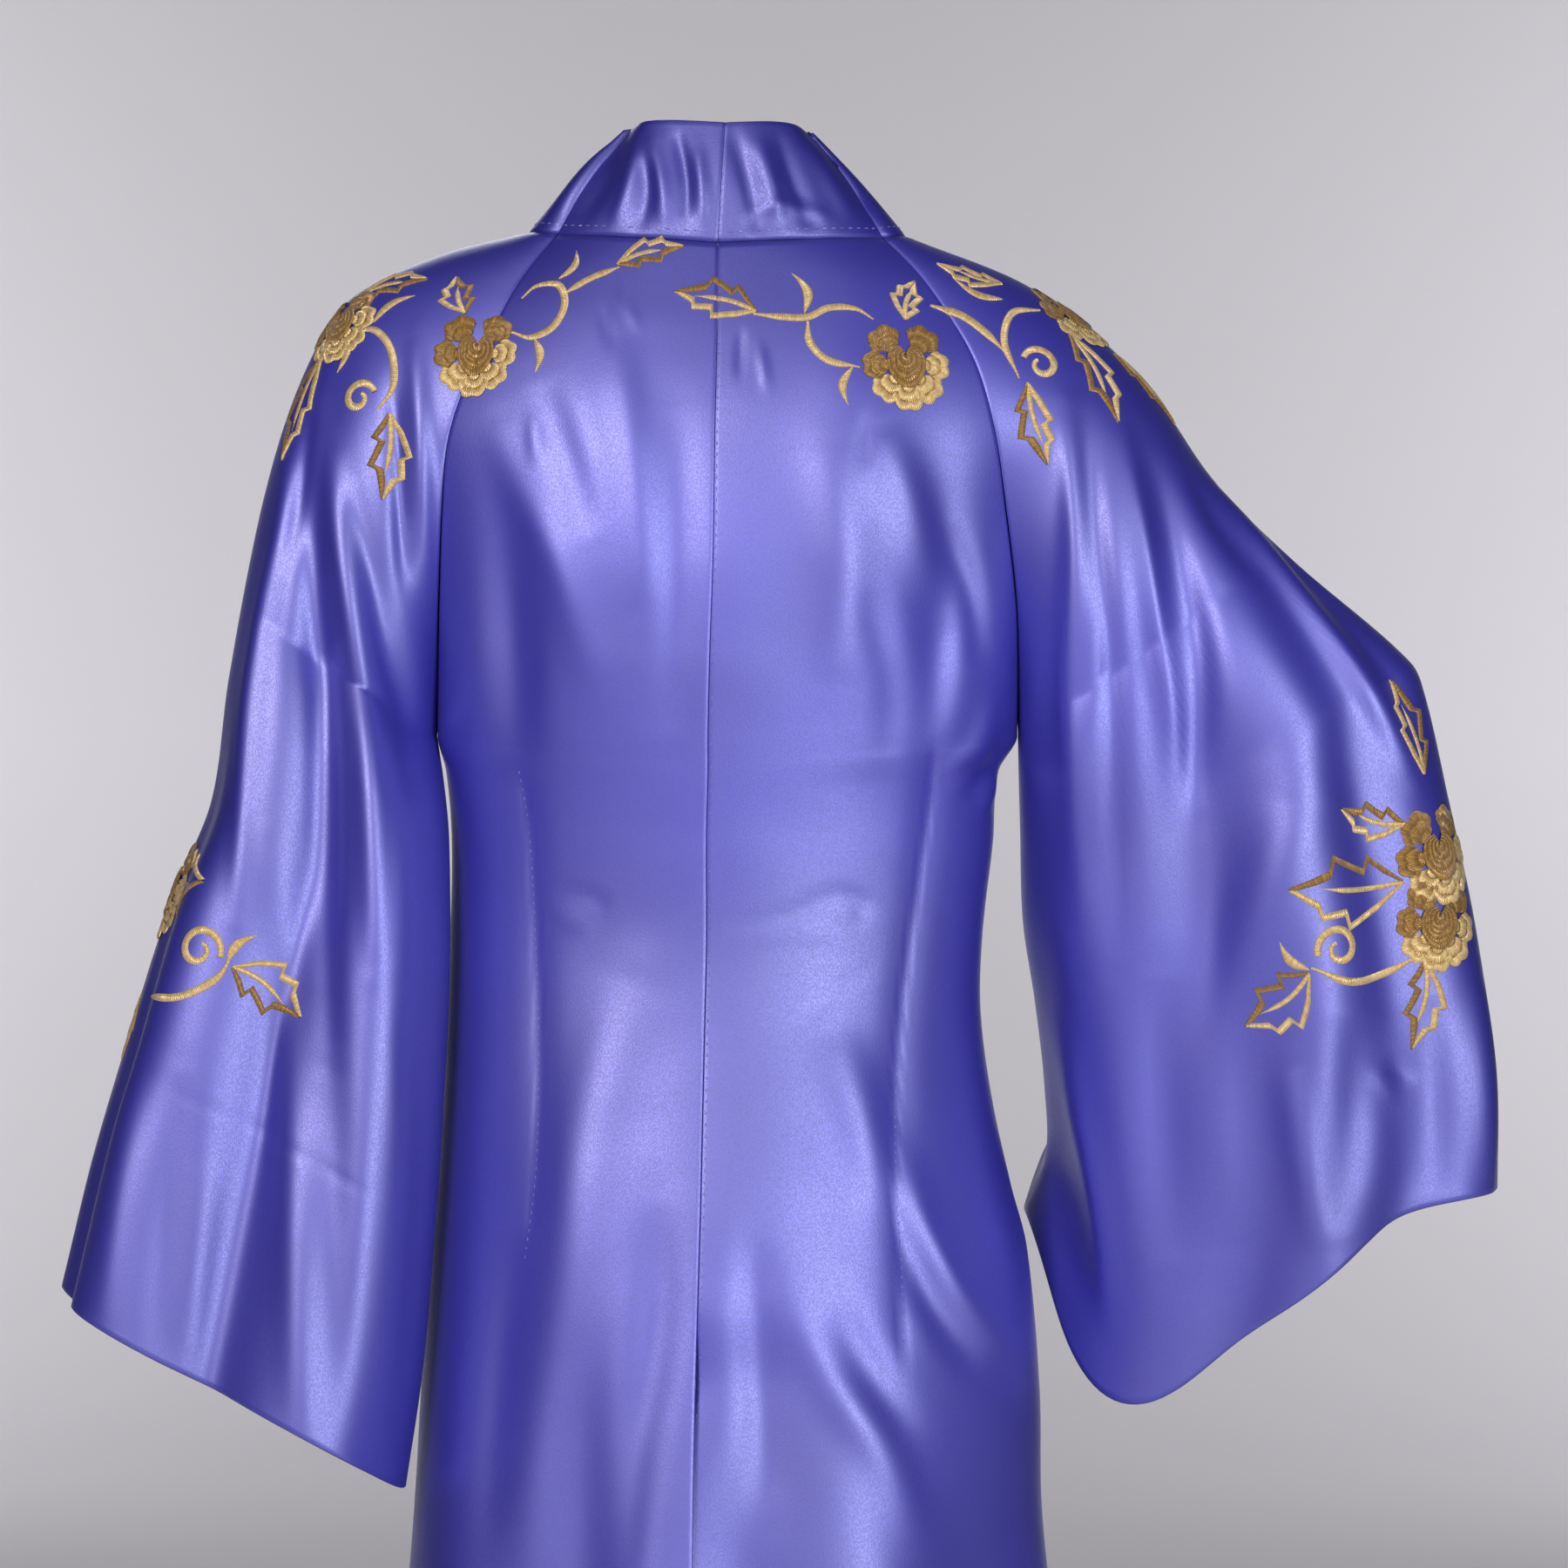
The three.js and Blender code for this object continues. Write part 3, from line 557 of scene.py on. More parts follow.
def turned_edge(grid, normals, edge, seam):
    """Adds the cloth that turns in at an edge: a narrow flange at a seam, or a hem folded inside."""
    axis = 1 if "column" in edge else 0
    grid = np.moveaxis(grid, axis, 0)
    normals = np.moveaxis(normals, axis, 0)
    if "first" in edge:
        grid, normals = grid[::-1], normals[::-1]
    outward = unit(grid[-1] - grid[-2])
    if seam:
        rim = grid[-1] - outward * SEAM_HALF_GAP
        allowance = grid[-1] + outward * SEAM_HALF_GAP - normals[-1] * FLANGE
        grid = np.concatenate([grid[:-1], [rim], [allowance]])
        normals = np.concatenate([normals, normals[-1:]])
    else:
        lengths = np.linalg.norm(np.diff(grid[::-1], axis=0), axis=-1).mean(axis=1)
        back = np.cumsum(lengths)
        fold = [grid[-1] + outward * 0.5 * HEM_WALL - normals[-1] * 0.5 * HEM_WALL,
                grid[-1] - normals[-1] * HEM_WALL]
        for depth in HEM_DEPTHS:
            k = int(np.searchsorted(back, depth)) + 2
            fold.append(grid[-k] - normals[-k] * HEM_WALL)
        grid = np.concatenate([grid, fold])
        normals = np.concatenate([normals] + [normals[-1:]] * len(fold))
    if "first" in edge:
        grid, normals = grid[::-1], normals[::-1]
    return np.moveaxis(grid, 0, axis), np.moveaxis(normals, 0, axis)


# ---------- meshes ----------
def add_object(name, vertices, faces, material, uvs=None):
    mesh = bpy.data.meshes.new(name)
    mesh.from_pydata([tuple(v) for v in vertices], [], [tuple(f) for f in faces])
    mesh.polygons.foreach_set("use_smooth", [True] * len(mesh.polygons))
    if uvs is not None:
        layer = mesh.uv_layers.new(name="thread")
        loops = np.empty(len(mesh.loops), int)
        mesh.loops.foreach_get("vertex_index", loops)
        layer.data.foreach_set("uv", np.asarray(uvs)[loops].ravel())
    mesh.materials.append(material)
    mesh.update()
    obj = bpy.data.objects.new(name, mesh)
    bpy.context.scene.collection.objects.link(obj)
    return obj


def grid_faces(rows, columns, flip):
    a = (np.arange(rows - 1)[:, None] * columns + np.arange(columns - 1)).ravel()
    quads = np.stack([a, a + columns, a + columns + 1, a + 1], axis=1)
    return quads[:, ::-1] if flip else quads


# ---------- materials ----------
def nodes_of(name):
    material = bpy.data.materials.new(name)
    material.use_nodes = True
    tree = material.node_tree
    return material, tree, tree.nodes["Principled BSDF"]


def link(tree, source, output, target, socket):
    tree.links.new(source.outputs[output], target.inputs[socket])


def add_node(tree, kind, **settings):
    node = tree.nodes.new(kind)
    for name, value in settings.items():
        if name in node.inputs:
            node.inputs[name].default_value = value
        else:
            setattr(node, name, value)
    return node


def set_inputs(node, values):
    for name, value in values.items():
        node.inputs[name].default_value = value


def colour_ramp(tree, stops):
    ramp = tree.nodes.new("ShaderNodeValToRGB")
    for element, (place, colour) in zip(ramp.color_ramp.elements, stops):
        element.position = place
        element.color = (*colour, 1)
    return ramp


def multiply(tree, ground, over, share):
    """The ground's colour, multiplied by a share of the colour over it."""
    mix = add_node(tree, "ShaderNodeMix", data_type="RGBA", blend_type="MULTIPLY", Factor=share)
    link(tree, ground, "Color", mix, "A")
    link(tree, over, "Color", mix, "B")
    return mix


def satin_material(name, dark, light, gloss=0.7):
    """Heavy satin: a deep ground under a broad soft gloss, speckled by the fine floats of its weave."""
    material, tree, shader = nodes_of(name)
    place = add_node(tree, "ShaderNodeTexCoord")
    cloud = add_node(tree, "ShaderNodeTexNoise", Scale=7.0, Detail=1.0)
    stretch = add_node(tree, "ShaderNodeMapping", Scale=(1.0, 1.0, 0.6))
    floats = add_node(tree, "ShaderNodeTexNoise", Scale=1500.0, Detail=0.0)
    link(tree, place, "Object", cloud, "Vector")
    link(tree, place, "Object", stretch, "Vector")
    link(tree, stretch, "Vector", floats, "Vector")
    ramp = colour_ramp(tree, [(0.3, dark), (0.7, light)])
    link(tree, cloud, "Fac", ramp, "Fac")
    grain = colour_ramp(tree, [(0.3, (0.70, 0.70, 0.78)), (0.7, (1.0, 1.0, 1.0))])
    link(tree, floats, "Fac", grain, "Fac")
    link(tree, multiply(tree, ramp, grain, 1.0), "Result", shader, "Base Color")
    rough = add_node(tree, "ShaderNodeMapRange")
    set_inputs(rough, {"From Min": 0.3, "From Max": 0.7, "To Min": 0.56, "To Max": 0.44})
    link(tree, floats, "Fac", rough, "Value")
    link(tree, rough, "Result", shader, "Roughness")
    bump = add_node(tree, "ShaderNodeBump", Strength=0.3, Distance=0.0002)
    link(tree, floats, "Fac", bump, "Height")
    link(tree, bump, "Normal", shader, "Normal")
    set_inputs(shader, {"Metallic": 0.38, "Specular IOR Level": 1.0, "IOR": 1.7,
                        "Coat Weight": gloss, "Coat Roughness": 0.46, "Coat IOR": 1.7})
    return material


def thread_material(name, dark, light):
    """Gold rayon thread: fine strands that run across each stitched band."""
    material, tree, shader = nodes_of(name)
    place = add_node(tree, "ShaderNodeTexCoord")
    strands = add_node(tree, "ShaderNodeTexWave", Scale=350.0, Distortion=0.4, Detail=0.0)
    stretch = add_node(tree, "ShaderNodeMapping", Scale=(1.0, 0.15, 1.0))
    streak = add_node(tree, "ShaderNodeTexNoise", Scale=900.0, Detail=1.0)
    link(tree, place, "UV", strands, "Vector")
    link(tree, place, "UV", stretch, "Vector")
    link(tree, stretch, "Vector", streak, "Vector")
    ramp = colour_ramp(tree, [(0.32, dark), (0.68, light)])
    link(tree, streak, "Fac", ramp, "Fac")
    link(tree, multiply(tree, ramp, strands, 0.35), "Result", shader, "Base Color")
    bump = add_node(tree, "ShaderNodeBump", Strength=0.8, Distance=0.0004)
    link(tree, strands, "Fac", bump, "Height")
    link(tree, bump, "Normal", shader, "Normal")
    set_inputs(shader, {"Metallic": 0.35, "Roughness": 0.34, "Specular IOR Level": 0.8, "Sheen Weight": 0.2})
    return material


SATIN = satin_material("satin", (0.025, 0.021, 0.38), (0.036, 0.031, 0.47))
# The collar is the same satin as the rest of the robe; its darker colours paint the shade that its angle to
# the lights gives it.
COLLAR_SATIN_PAINTED_SHADE = satin_material("collar_satin", (0.019, 0.016, 0.31), (0.027, 0.023, 0.38), gloss=0.3)
PALE_GOLD = thread_material("pale_gold_thread", (0.74, 0.47, 0.15), (0.96, 0.72, 0.33))
DEEP_GOLD = thread_material("deep_gold_thread", (0.27, 0.13, 0.018), (0.50, 0.27, 0.045))
SEWING_THREAD = thread_material("sewing_thread", (0.20, 0.17, 0.62), (0.42, 0.38, 0.85))

# ---------- the cloth pieces ----------
cloth = {}
outer_grids = {}


def cloth_piece(name, grid, facing, creases, seams, hems, material, seed, darts=False):
    """Finishes one piece of cloth from its smooth surface, and hides the solid of the same name that it
    replaces.
    """
    normals = grid_normals(grid, facing)
    grid = crease(grid, normals, creases)
    grid = ripple(grid, normals, seed)
    if darts:
        grid = stitch_darts(grid, normals)
    normals = grid_normals(grid, facing)
    grid = sink_seams(grid, normals, seams)
    outer_grids[name] = (grid, normals)
    for edge in seams:
        grid, normals = turned_edge(grid, normals, edge, seam=True)
    for edge in hems:
        grid, normals = turned_edge(grid, normals, edge, seam=False)
    rows, columns = grid.shape[:2]
    obj = add_object(name, grid.reshape(-1, 3) * MM, grid_faces(rows, columns, facing > 0), material)
    cloth[name] = obj
    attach(obj, "root")
    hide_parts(name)


for number, (side, sign) in enumerate(SIDES.items()):
    back, front, sleeve_grid = back_panel(side), front_panel(side), sleeve(side)
    band = collar_band(side, back, sleeve_grid, front)
    edges = ("first_column", "last_column", "first_row")
    cloth_piece("back_" + side, back, sign, BACK_CREASES, edges, ("last_row",), SATIN, number, darts=True)
    cloth_piece("front_" + side, front, -sign, [], edges, ("last_row",), SATIN, 10 + number)
    cloth_piece("sleeve_" + side, sleeve_grid, sign, SLEEVE_CREASES[side], edges, ("last_row",),
                SATIN, 20 + number)
    cloth_piece("collar_" + side, band, sign, COLLAR_CREASES, ("first_column", "first_row"),
                ("last_column", "last_row"), COLLAR_SATIN_PAINTED_SHADE, 30 + number)


# ---------- laying stitches on the cloth ----------
def cloth_tree():
    vertices, faces = [], []
    for obj in cloth.values():
        start = len(vertices)
        vertices.extend(v.co.copy() for v in obj.data.vertices)
        faces.extend([start + i for i in p.vertices] for p in obj.data.polygons)
    return BVHTree.FromPolygons(vertices, faces)


CLOTH_TREE = cloth_tree()
RAY_START = 1               # in metres, from the robe's middle
MISS_REACH = 0.98           # how far along a missed ray the nearest cloth is looked for
LAY_START = 0.06            # in metres, above the drawing frame
LAY_REACH = 0.14


def meet_cloth(origin, ray, reach, nearest_to):
    """Where a ray meets the cloth, or else the cloth nearest to a point, and its normal against the ray."""
    place, normal, _, _ = CLOTH_TREE.ray_cast(origin, ray, reach)
    if place is None:
        place, normal, _, _ = CLOTH_TREE.find_nearest(nearest_to)
    return place, -normal if normal.dot(ray) > 0 else normal


def surface_at(right, up, y=0, side=0):
    """The place and outward normal of the cloth at a point seen from behind, or from a side."""
    if side:
        origin, ray = Vector((side * RAY_START, y * MM, up * MM)), Vector((-side, 0, 0))
    else:
        origin, ray = Vector((-right * MM, RAY_START, up * MM)), Vector((0, -1, 0))
    return meet_cloth(origin, ray, 2 * RAY_START, origin + ray * MISS_REACH)


class Patch:
    """A flat drawing frame in mm, right and up as seen from behind, laid on the cloth along its normal."""

    def __init__(self, right, up, y=0, side=0):
        self.place, _ = surface_at(right, up, y, side)
        around = [surface_at(right + dr, up + du, y + dr, side)[1]
                  for dr, du in ((0, 0), (6, 0), (-6, 0), (0, 6), (0, -6))]
        self.normal = sum(around, Vector()).normalized()
        self.up = (Vector((0, 0, 1)) - self.normal * self.normal.z).normalized()
        self.right = self.up.cross(self.normal)
        if not side and self.right.x > 0:
            self.right = -self.right

    def lay(self, right, up, height):
        point = self.place + self.right * (right * MM) + self.up * (up * MM)
        place, normal = meet_cloth(point + self.normal * LAY_START, -self.normal, LAY_REACH, point)
        return place + normal * (height * MM)


THREAD_STEP = 0.45
THREAD_RIDGE = 0.09
FULL_RISE_WIDTH = 2.4       # a narrower band rises less
# The deep-gold underlay under each petal's and heart's rows of stitching paints the shade in the fine lines
# between the rows.
SHADE_UNDERLAY_REACH = 0.94         # share of a petal, under its rows of stitching
SHADE_UNDERLAY_RISE = 0.1
ACROSS = np.array([-1, -0.72, -0.3, 0.3, 0.72, 1])
PUFF = np.array([0.0, 0.72, 1.0, 1.0, 0.72, 0.0])


class Stitching:
    """Collects stitched bands, then makes one raised mesh of them."""

    def __init__(self):
        self.vertices, self.faces, self.uvs = [], [], []

    def strip(self, patch, inner, outer, height, base=0.1):
        """A band of thread between two lines of (right, up) points of one length."""
        rows, columns = len(inner), len(ACROSS)
        start = len(self.vertices)
        along = 0.0
        for k in range(rows):
            if k:
                along += float(np.linalg.norm((inner[k] + outer[k] - inner[k - 1] - outer[k - 1]) / 2))
            width = float(np.linalg.norm(outer[k] - inner[k]))
            ridge = THREAD_RIDGE * (1 if k % 2 else -1)
            rise = height * min(1.0, width / FULL_RISE_WIDTH)
            for place, puff in zip(ACROSS, PUFF):
                right, up = inner[k] + (outer[k] - inner[k]) * (place + 1) / 2
                self.vertices.append(patch.lay(right, up, base + puff * (rise + ridge)))
                self.uvs.append((along * MM, (place + 1) / 2 * width * MM))
        self.faces.extend((grid_faces(rows, columns, False) + start).tolist())

    def line(self, patch, points, width, height=0.9, taper=(0.35, 0.25)):
        """A satin-stitched line that narrows at both ends."""
        points = smooth_line(points, THREAD_STEP)
        heading = unit(np.gradient(points, axis=0))
        sideways = np.stack([-heading[:, 1], heading[:, 0]], axis=-1)
        s = np.linspace(0, 1, len(points))
        spread = width / 2 * (taper[0] + (1 - taper[0]) * ease(0, 0.25, s))
        spread = (spread * (taper[1] + (1 - taper[1]) * ease(1, 0.7, s)))[:, None]
        self.strip(patch, points - sideways * spread, points + sideways * spread, height)

    def make(self, name, material):
        obj = add_object(name, self.vertices, self.faces, material, uvs=self.uvs)
        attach(obj, "root")
        return obj


pale = Stitching()
deep = Stitching()


def turned(points, degrees):
    c, s = np.cos(np.radians(degrees)), np.sin(np.radians(degrees))
    return np.asarray(points, float) @ np.array([[c, s], [-s, c]])


# The two sides of a leaf: share of its length, and of its half width; the steps back are its teeth.
LEAF_SIDES = {
    1: [(0, 0.04), (0.22, 0.58), (0.50, 1.0), (0.53, 0.62), (0.74, 0.74), (0.77, 0.44), (1, 0.02)],
    -1: [(0, 0.04), (0.30, 0.86), (0.34, 0.52), (0.62, 0.94), (0.66, 0.52), (1, 0.02)],
}
LEAF_BAND = 4.0
LEAF_RIB = 3.1


def leaf(anchor, angle, length, width, bend=0.08):
    """An outlined leaf with toothed sides and a rib, open cloth between them."""
    patch = Patch(*anchor)
    s = np.linspace(0, 1, int(length / THREAD_STEP))
    band = LEAF_BAND * (0.45 + 0.55 * ease(0, 0.2, s)) * (0.5 + 0.5 * ease(1, 0.7, s))
    middle = bend * length * np.sin(np.pi * s)
    for sign, thread in ((1, pale), (-1, deep if width > 20 else pale)):
        side = np.array(LEAF_SIDES[sign])
        spread = np.interp(s, side[:, 0], side[:, 1]) * width / 2
        outer_side = middle + sign * (spread + 0.4)
        inner_side = middle + sign * np.maximum(spread - band, 0.1)
        outer = turned(np.stack([s * length, outer_side], axis=-1), angle)
        inner = turned(np.stack([s * length * 0.97, inner_side], axis=-1), angle)
        thread.strip(patch, inner, outer, 1.0)
    rib = np.stack([s * length * 0.76, middle * 0.9], axis=-1)[::8]
    pale.line(patch, turned(rib, angle), LEAF_RIB, 0.8, taper=(0.7, 0.1))


def blade(anchor, angle, length, width=5, bend=0.16):
    """A narrow filled leaf."""
    patch = Patch(*anchor)
    s = np.linspace(0, 1, max(8, int(length / THREAD_STEP)))
    half = width / 2 * np.sin(np.pi * s ** 0.8) + 0.2
    middle = bend * length * np.sin(np.pi * s)
    inner = turned(np.stack([s * length, middle - half], axis=-1), angle)
    outer = turned(np.stack([s * length, middle + half], axis=-1), angle)
    pale.strip(patch, inner, outer, 0.9)


STEM = 4.4


def stem(points, width=STEM):
    """A stem through points seen from behind."""
    points = np.array(points, float)
    middle = points.mean(axis=0)
    nearest = points[np.argmin(np.linalg.norm(points - middle, axis=1))]
    patch = Patch(*nearest)
    pale.line(patch, points - nearest, width)


def scroll(centre, radius, start_angle, turns):
    """A tendril that winds in to its centre; negative turns wind clockwise."""
    patch = Patch(*centre)
    s = np.linspace(0, 1, 40)
    angle = np.radians(start_angle) + 2 * np.pi * turns * s
    reach = radius * (1 - 0.72 * s)
    points = np.stack([reach * np.cos(angle), reach * np.sin(angle)], axis=-1)
    pale.line(patch, points, STEM, taper=(0.8, 0.6))


HEART_ROWS = 4
HEART_LIFT = 1.2
ROW_FILL = 0.86             # of a row's depth, so that a fine line parts it from the next


def heart(patch, centre, outline):
    """A blossom's heart: scalloped rows of stitching that shrink toward a centre, over a deep-gold underlay
    that paints the shade in the fine lines between the rows.
    """
    outline = smooth_line(outline, THREAD_STEP) - centre
    t = np.linspace(0, 1, len(outline))
    ends = ease(0, 0.12, t) * ease(1, 0.88, t)
    # Painted shade: a deep-gold underlay that shows in the fine lines between the rows.
    deep.strip(patch, centre + outline * 0.03, centre + outline * SHADE_UNDERLAY_REACH, SHADE_UNDERLAY_RISE,
               base=0.1 + HEART_LIFT)
    for row in range(HEART_ROWS):
        far, near = 1 - row / HEART_ROWS, 1 - (row + ROW_FILL) / HEART_ROWS
        lobes = 3 if far > 0.5 else 2
        scallop = 1 + 0.09 * (np.abs(np.sin(np.pi * lobes * t + 0.9 * (row % 2))) - 0.6) * ends
        deep.strip(patch, centre + outline * (max(near, 0.02) * scallop)[:, None],
                   centre + outline * (far * scallop)[:, None], 0.9, base=0.2 + HEART_LIFT)


def fan(patch, base, angle, reach, half_spread, rows, thread, lift):
    """A petal: rows of stitching that fan out from its base, each with a scalloped edge, over a deep-gold
    underlay that paints the shade in the fine lines between the rows.
    """
    t = np.linspace(-1, 1, max(16, int(np.radians(2 * half_spread) * reach / THREAD_STEP)))
    theta = np.radians(angle + t * half_spread)
    ray = np.stack([np.cos(theta), np.sin(theta)], axis=-1)
    rounding = 1 - 0.30 * np.abs(t) ** 3
    ground = (reach * SHADE_UNDERLAY_REACH * rounding)[:, None]
    # Painted shade: a deep-gold underlay that shows in the fine lines between the rows.
    deep.strip(patch, base + ray * 0.4, base + ray * ground, SHADE_UNDERLAY_RISE, base=0.1 + lift)
    for row in range(rows):
        far, near = 1 - row / rows, max(0.03, 1 - (row + ROW_FILL) / rows)
        scallop = 1 + 0.09 * far * (np.abs(np.sin(1.5 * np.pi * t + 0.8 * row)) - 0.5)
        edge = (reach * scallop * rounding)[:, None]
        thread.strip(patch, base + ray * near * edge, base + ray * far * edge, 0.9, base=0.2 + lift)


BLOSSOM_WIDTH = 52
# At that width, each petal's angle, how far out its base is, reach, half spread, rows, thread and height.
BLOSSOM_PETALS = [
    (126, 8, 19, 47, 3, "deep", 0.0), (54, 8, 19, 47, 3, "deep", 0.1), (182, 8, 17, 46, 3, "deep", 0.2),
    (-2, 8, 17, 46, 3, "pale", 0.2), (-130, 8, 18, 46, 3, "pale", 0.0), (-50, 8, 18, 46, 3, "pale", 0.1),
    (-90, 11, 16, 54, 3, "pale", 0.5),
]
BLOSSOM_HEART = [(-3, 11), (-9, 8), (-11, -1), (-9, -9), (0, -14), (9, -9), (11, -1), (9, 8), (3, 11)]


def blossom(anchor, width, turn=0, **where):
    """A full layered flower: scalloped petals round a tall heart."""
    patch = Patch(*anchor, **where)
    size = width / BLOSSOM_WIDTH
    threads = {"pale": pale, "deep": deep}
    for angle, out, reach, spread, rows, tone, lift in BLOSSOM_PETALS:
        heading = np.radians(angle + turn)
        base = np.array([np.cos(heading), np.sin(heading)]) * out * size
        fan(patch, base, angle + turn, reach * size, spread, rows, threads[tone], lift)
    outline = turned(np.array(BLOSSOM_HEART) * size, turn)
    heart(patch, turned([(0, 6 * size)], turn)[0], outline)


# ---------- the sprays, in mm right and up from the neck's middle, seen from behind ----------
def back_left_spray():
    stem([(-112, -60), (-100, -63), (-88, -56), (-84, -41), (-91, -28), (-104, -29), (-111, -38)])
    stem([(-85, -37), (-72, -27), (-56, -19)])
    leaf((-57, -19), 21, 40, 22)
    blade((-90, -27), 76, 23, 4.5, bend=-0.2)
    blade((-103, -62), -82, 21, 4.5)
    blossom((-136, -70), 50)
    leaf((-143, -46), 108, 28, 23)


def back_right_spray():
    leaf((22, -47), 164, 48, 28, bend=-0.06)
    stem([(20, -48), (36, -50), (51, -50), (63, -44), (78, -44), (88, -50)])
    stem([(51, -51), (52, -64), (62, -75), (80, -79)])
    blade((49, -48), 104, 27, 5, bend=-0.2)
    blade((76, -79), -98, 23, 4.5, bend=-0.2)
    blossom((106, -77), 52)
    leaf((106, -51), 70, 30, 20)
    stem([(121, -40), (137, -45), (150, -56), (161, -69)], 5.0)


def left_shoulder_spray():
    blossom((-216, -50), 50, turn=20)
    leaf((-207, -34), 33, 45, 24)
    leaf((-226, -68), -95, 65, 26, bend=-0.05)
    blade((-196, -50), 44, 28, 5)
    stem([(-213, -53), (-198, -53), (-185, -67), (-181, -88), (-189, -103)])
    scroll((-203, -94), 10, 20, 1.1)
    leaf((-185, -103), -94, 50, 26, bend=0.05)
    blade((-212, -57), -85, 24, 5)


def right_shoulder_spray():
    blossom((203, -44), 54, turn=-15)
    leaf((162, -27), 150, 40, 20)
    blade((162, -37), 147, 30, 5)
    stem([(190, -37), (171, -42), (162, -62), (168, -85)])
    scroll((183, -75), 11, 160, -1.1)
    leaf((175, -86), -78, 48, 23, bend=-0.05)
    leaf((200, -56), -82, 62, 23, bend=0.05)
    leaf((226, -66), -70, 54, 23, bend=0.05)


def left_sleeve_spray():
    leaf((-316, -379), 16, 65, 44, bend=0.05)
    stem([(-331, -430), (-303, -432), (-282, -421), (-274, -407)])
    scroll((-291, -405), 13, -20, 1.2)
    blade((-275, -413), 42, 23, 5)
    leaf((-272, -415), -37, 48, 33)
    leaf((-331, -433), -98, 40, 20)
    blossom((0, -372), 60, y=22, side=1)


def right_sleeve_spray():
    leaf((401, -307), 104, 57, 26, bend=-0.05)
    blossom((410, -352), 56, turn=10)
    blossom((409, -392), 52, turn=-5)
    leaf((389, -335), 168, 41, 23)
    leaf((388, -368), 183, 71, 44, bend=0.04)
    scroll((350, -405), 13, 200, -1.2)
    stem([(334, -416), (357, -424), (383, -419), (402, -409)])
    blade((333, -417), 137, 23, 5)
    leaf((333, -419), 221, 48, 36)
    leaf((401, -412), -98, 52, 26)


for spray in (back_left_spray, back_right_spray, left_shoulder_spray, right_shoulder_spray,
              left_sleeve_spray, right_sleeve_spray):
    spray()
pale.make("embroidery_pale_gold", PALE_GOLD)
deep.make("embroidery_deep_gold", DEEP_GOLD)


# ---------- sewing stitches ----------
STITCH_SWELL = np.array([0.25, 0.9, 1, 0.9, 0.25])    # of its radius, from end to end
STITCH_CORNERS = 6


def stitch_row(collection, points, length=3.0, spacing=5.5, radius=0.32):
    """Short raised stitches along a line on the cloth, points and normals in mm."""
    place, normals = points
    along = distance_along(place)
    vertices, faces = collection
    ring, sections = STITCH_CORNERS, len(STITCH_SWELL)
    for start in np.arange(spacing, along[-1] - length, spacing):
        at = start + np.linspace(0, length, sections)
        centre = np.stack([np.interp(at, along, place[:, i]) for i in range(3)], axis=-1)
        normal = unit(np.stack([np.interp(at, along, normals[:, i]) for i in range(3)], axis=-1))
        heading = unit(centre[-1] - centre[0])
        sideways = unit(np.cross(heading, normal))
        swell = STITCH_SWELL * radius
        first = len(vertices)
        for k in range(sections):
            for corner in range(ring):
                turn = 2 * np.pi * corner / ring
                lift = centre[k] + normal[k] * (0.12 + swell[k] * (0.4 + np.sin(turn)))
                vertices.append((lift + sideways[k] * swell[k] * 1.2 * np.cos(turn)) * MM)
        for k in range(sections - 1):
            for corner in range(ring):
                after = (corner + 1) % ring
                faces.append((first + k * ring + corner, first + k * ring + after,
                              first + (k + 1) * ring + after, first + (k + 1) * ring + corner))
        faces.append(tuple(first + corner for corner in reversed(range(ring))))
        faces.append(tuple(first + (sections - 1) * ring + corner for corner in range(ring)))


def grid_line(name, column, rows=slice(None)):
    grid, normals = outer_grids[name]
    return grid[rows, column], normals[rows, column]


def seen_line(points):
    line = smooth_line(points, step=2)
    found = [surface_at(right, up) for right, up in line]
    return np.array([place / MM for place, _ in found]), np.array([normal for _, normal in found])


sewing = ([], [])
for side in SIDES:
    stitch_row(sewing, grid_line("collar_" + side, column=2))
centre_seam = grid_line("back_right", column=3, rows=slice(4, 150))
stitch_row(sewing, centre_seam, length=2.2, spacing=6.5, radius=0.25)
for dart in DARTS:
    stitch_row(sewing, seen_line(dart), length=2.0, spacing=5, radius=0.22)
stitches = add_object("sewing_stitches", *sewing, SEWING_THREAD, uvs=np.array(sewing[0])[:, [2, 0]])
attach(stitches, "root")


# ---------- studio ----------
def plain_material(name, colour, rough):
    material, _, shader = nodes_of(name)
    set_inputs(shader, {"Base Color": (*colour, 1), "Roughness": rough})
    return material


WALL_Y = -7.0
WALL_TOP_Z = 6.0
WALL_HALF_WIDTH = 9.0
SWEEP_RADIUS = 1.2
FLOOR_START_Y = 4.5
FLOOR_DROP = 60             # the floor's depth below the hem, in mm


def backdrop():
    """A pale floor that sweeps up into a wall, well behind the robe as the camera sees it."""
    floor_z = (HEM_Z - FLOOR_DROP) * MM
    profile = [(FLOOR_START_Y, floor_z)]
    profile += [(WALL_Y + SWEEP_RADIUS * (1 - np.sin(a)), floor_z + SWEEP_RADIUS * (1 - np.cos(a)))
                for a in np.linspace(0, np.pi / 2, 14)]
    profile.append((WALL_Y, WALL_TOP_Z))
    vertices = [(x, y, z) for y, z in profile for x in (-WALL_HALF_WIDTH, WALL_HALF_WIDTH)]
    faces = [(2 * k, 2 * k + 1, 2 * k + 3, 2 * k + 2) for k in range(len(profile) - 1)]
    add_object("backdrop", vertices, faces, plain_material("backdrop", (0.80, 0.79, 0.82), 0.9))


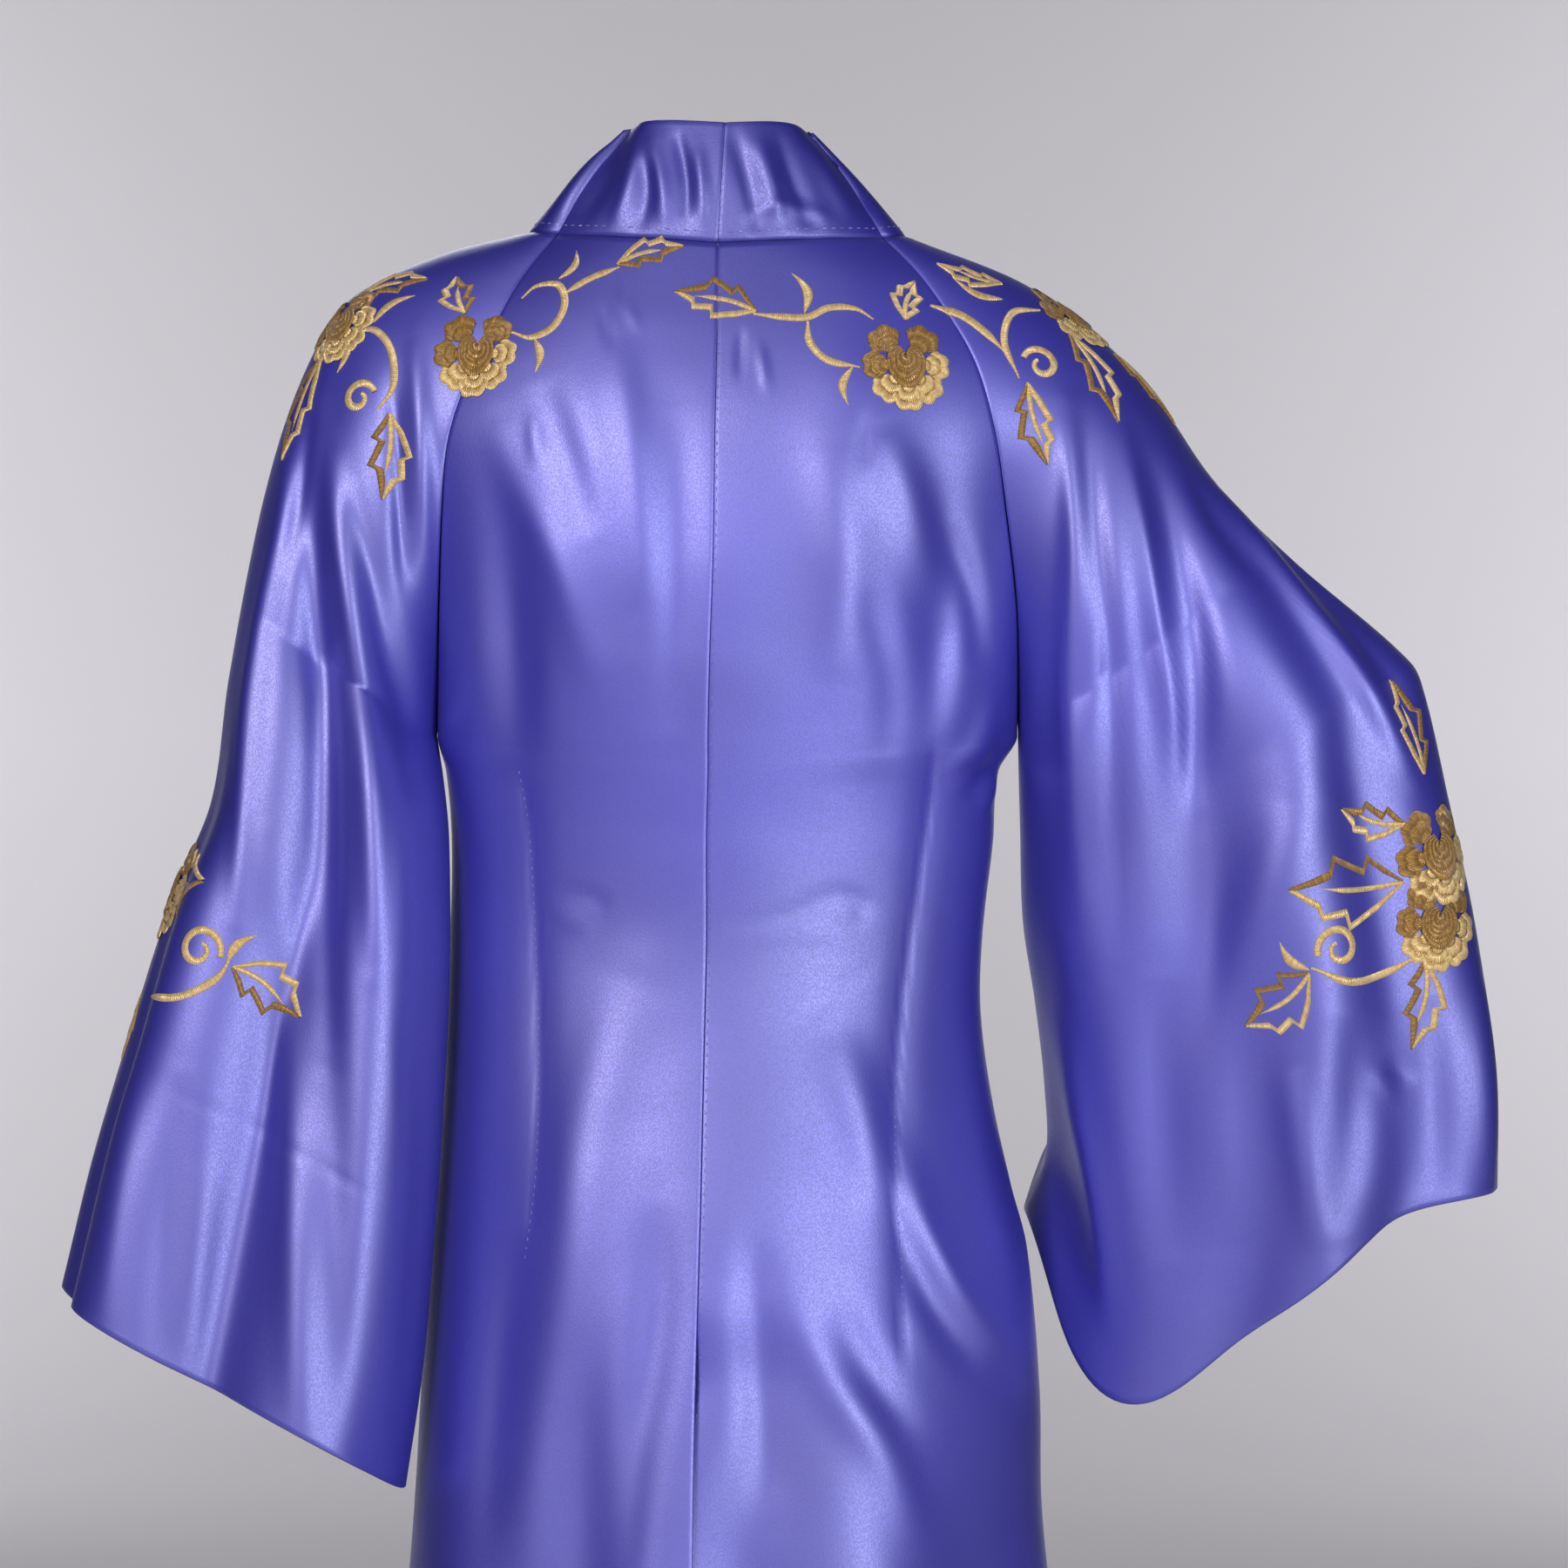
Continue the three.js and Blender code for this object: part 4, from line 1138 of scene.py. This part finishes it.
def soft_light(name, place, target, size, power, colour=(1.0, 1.0, 1.0)):
    data = bpy.data.lights.new(name, "AREA")
    data.shape = "RECTANGLE"
    data.size, data.size_y = size
    data.energy = power
    data.color = colour
    obj = bpy.data.objects.new(name, data)
    obj.location = place
    obj.rotation_euler = (Vector(target) - Vector(place)).to_track_quat("-Z", "Y").to_euler()
    bpy.context.scene.collection.objects.link(obj)


CAMERA_DISTANCE = 3.0
FRAME_WIDTH = 0.9           # seen across the picture at the robe's middle plane
SENSOR_WIDTH = 36
FRAME_CENTRE = (-0.0375, 0.02, -0.3125)


def camera():
    data = bpy.data.cameras.new("camera")
    data.sensor_width = SENSOR_WIDTH
    data.lens = SENSOR_WIDTH * CAMERA_DISTANCE / FRAME_WIDTH
    obj = bpy.data.objects.new("camera", data)
    x, y, z = FRAME_CENTRE
    obj.location = (x, y + CAMERA_DISTANCE, z)
    obj.rotation_euler = Vector((0, -1, 0)).to_track_quat("-Z", "Y").to_euler()
    bpy.context.scene.collection.objects.link(obj)
    bpy.context.scene.camera = obj


def world_light(strength):
    world = bpy.data.worlds.new("studio")
    world.use_nodes = True
    background = world.node_tree.nodes["Background"]
    background.inputs["Color"].default_value = (0.86, 0.88, 1.0, 1)
    background.inputs["Strength"].default_value = strength
    bpy.context.scene.world = world


backdrop()
camera()
world_light(0.02)
robe = (0, 0, -0.35)
wall = (0, WALL_Y, -0.3)
soft_light("key", (1.1, 2.9, 0.85), robe, (0.7, 1.0), 72, (1.0, 0.96, 0.97))
soft_light("fill", (-1.5, 2.8, -0.2), robe, (0.6, 1.4), 58, (0.94, 0.97, 1.0))
soft_light("top", (0.1, 0.8, 1.9), robe, (1.2, 0.5), 4)
soft_light("front", (0.6, -3.0, 1.4), robe, (1.2, 1.0), 14)
for side, sign in SIDES.items():
    soft_light("wall_" + side, (sign * 3.0, -5.0, -0.2), wall, (1.0, 4.0), 62, (1.0, 0.99, 1.0))
bpy.context.scene.view_settings.view_transform = "Standard"
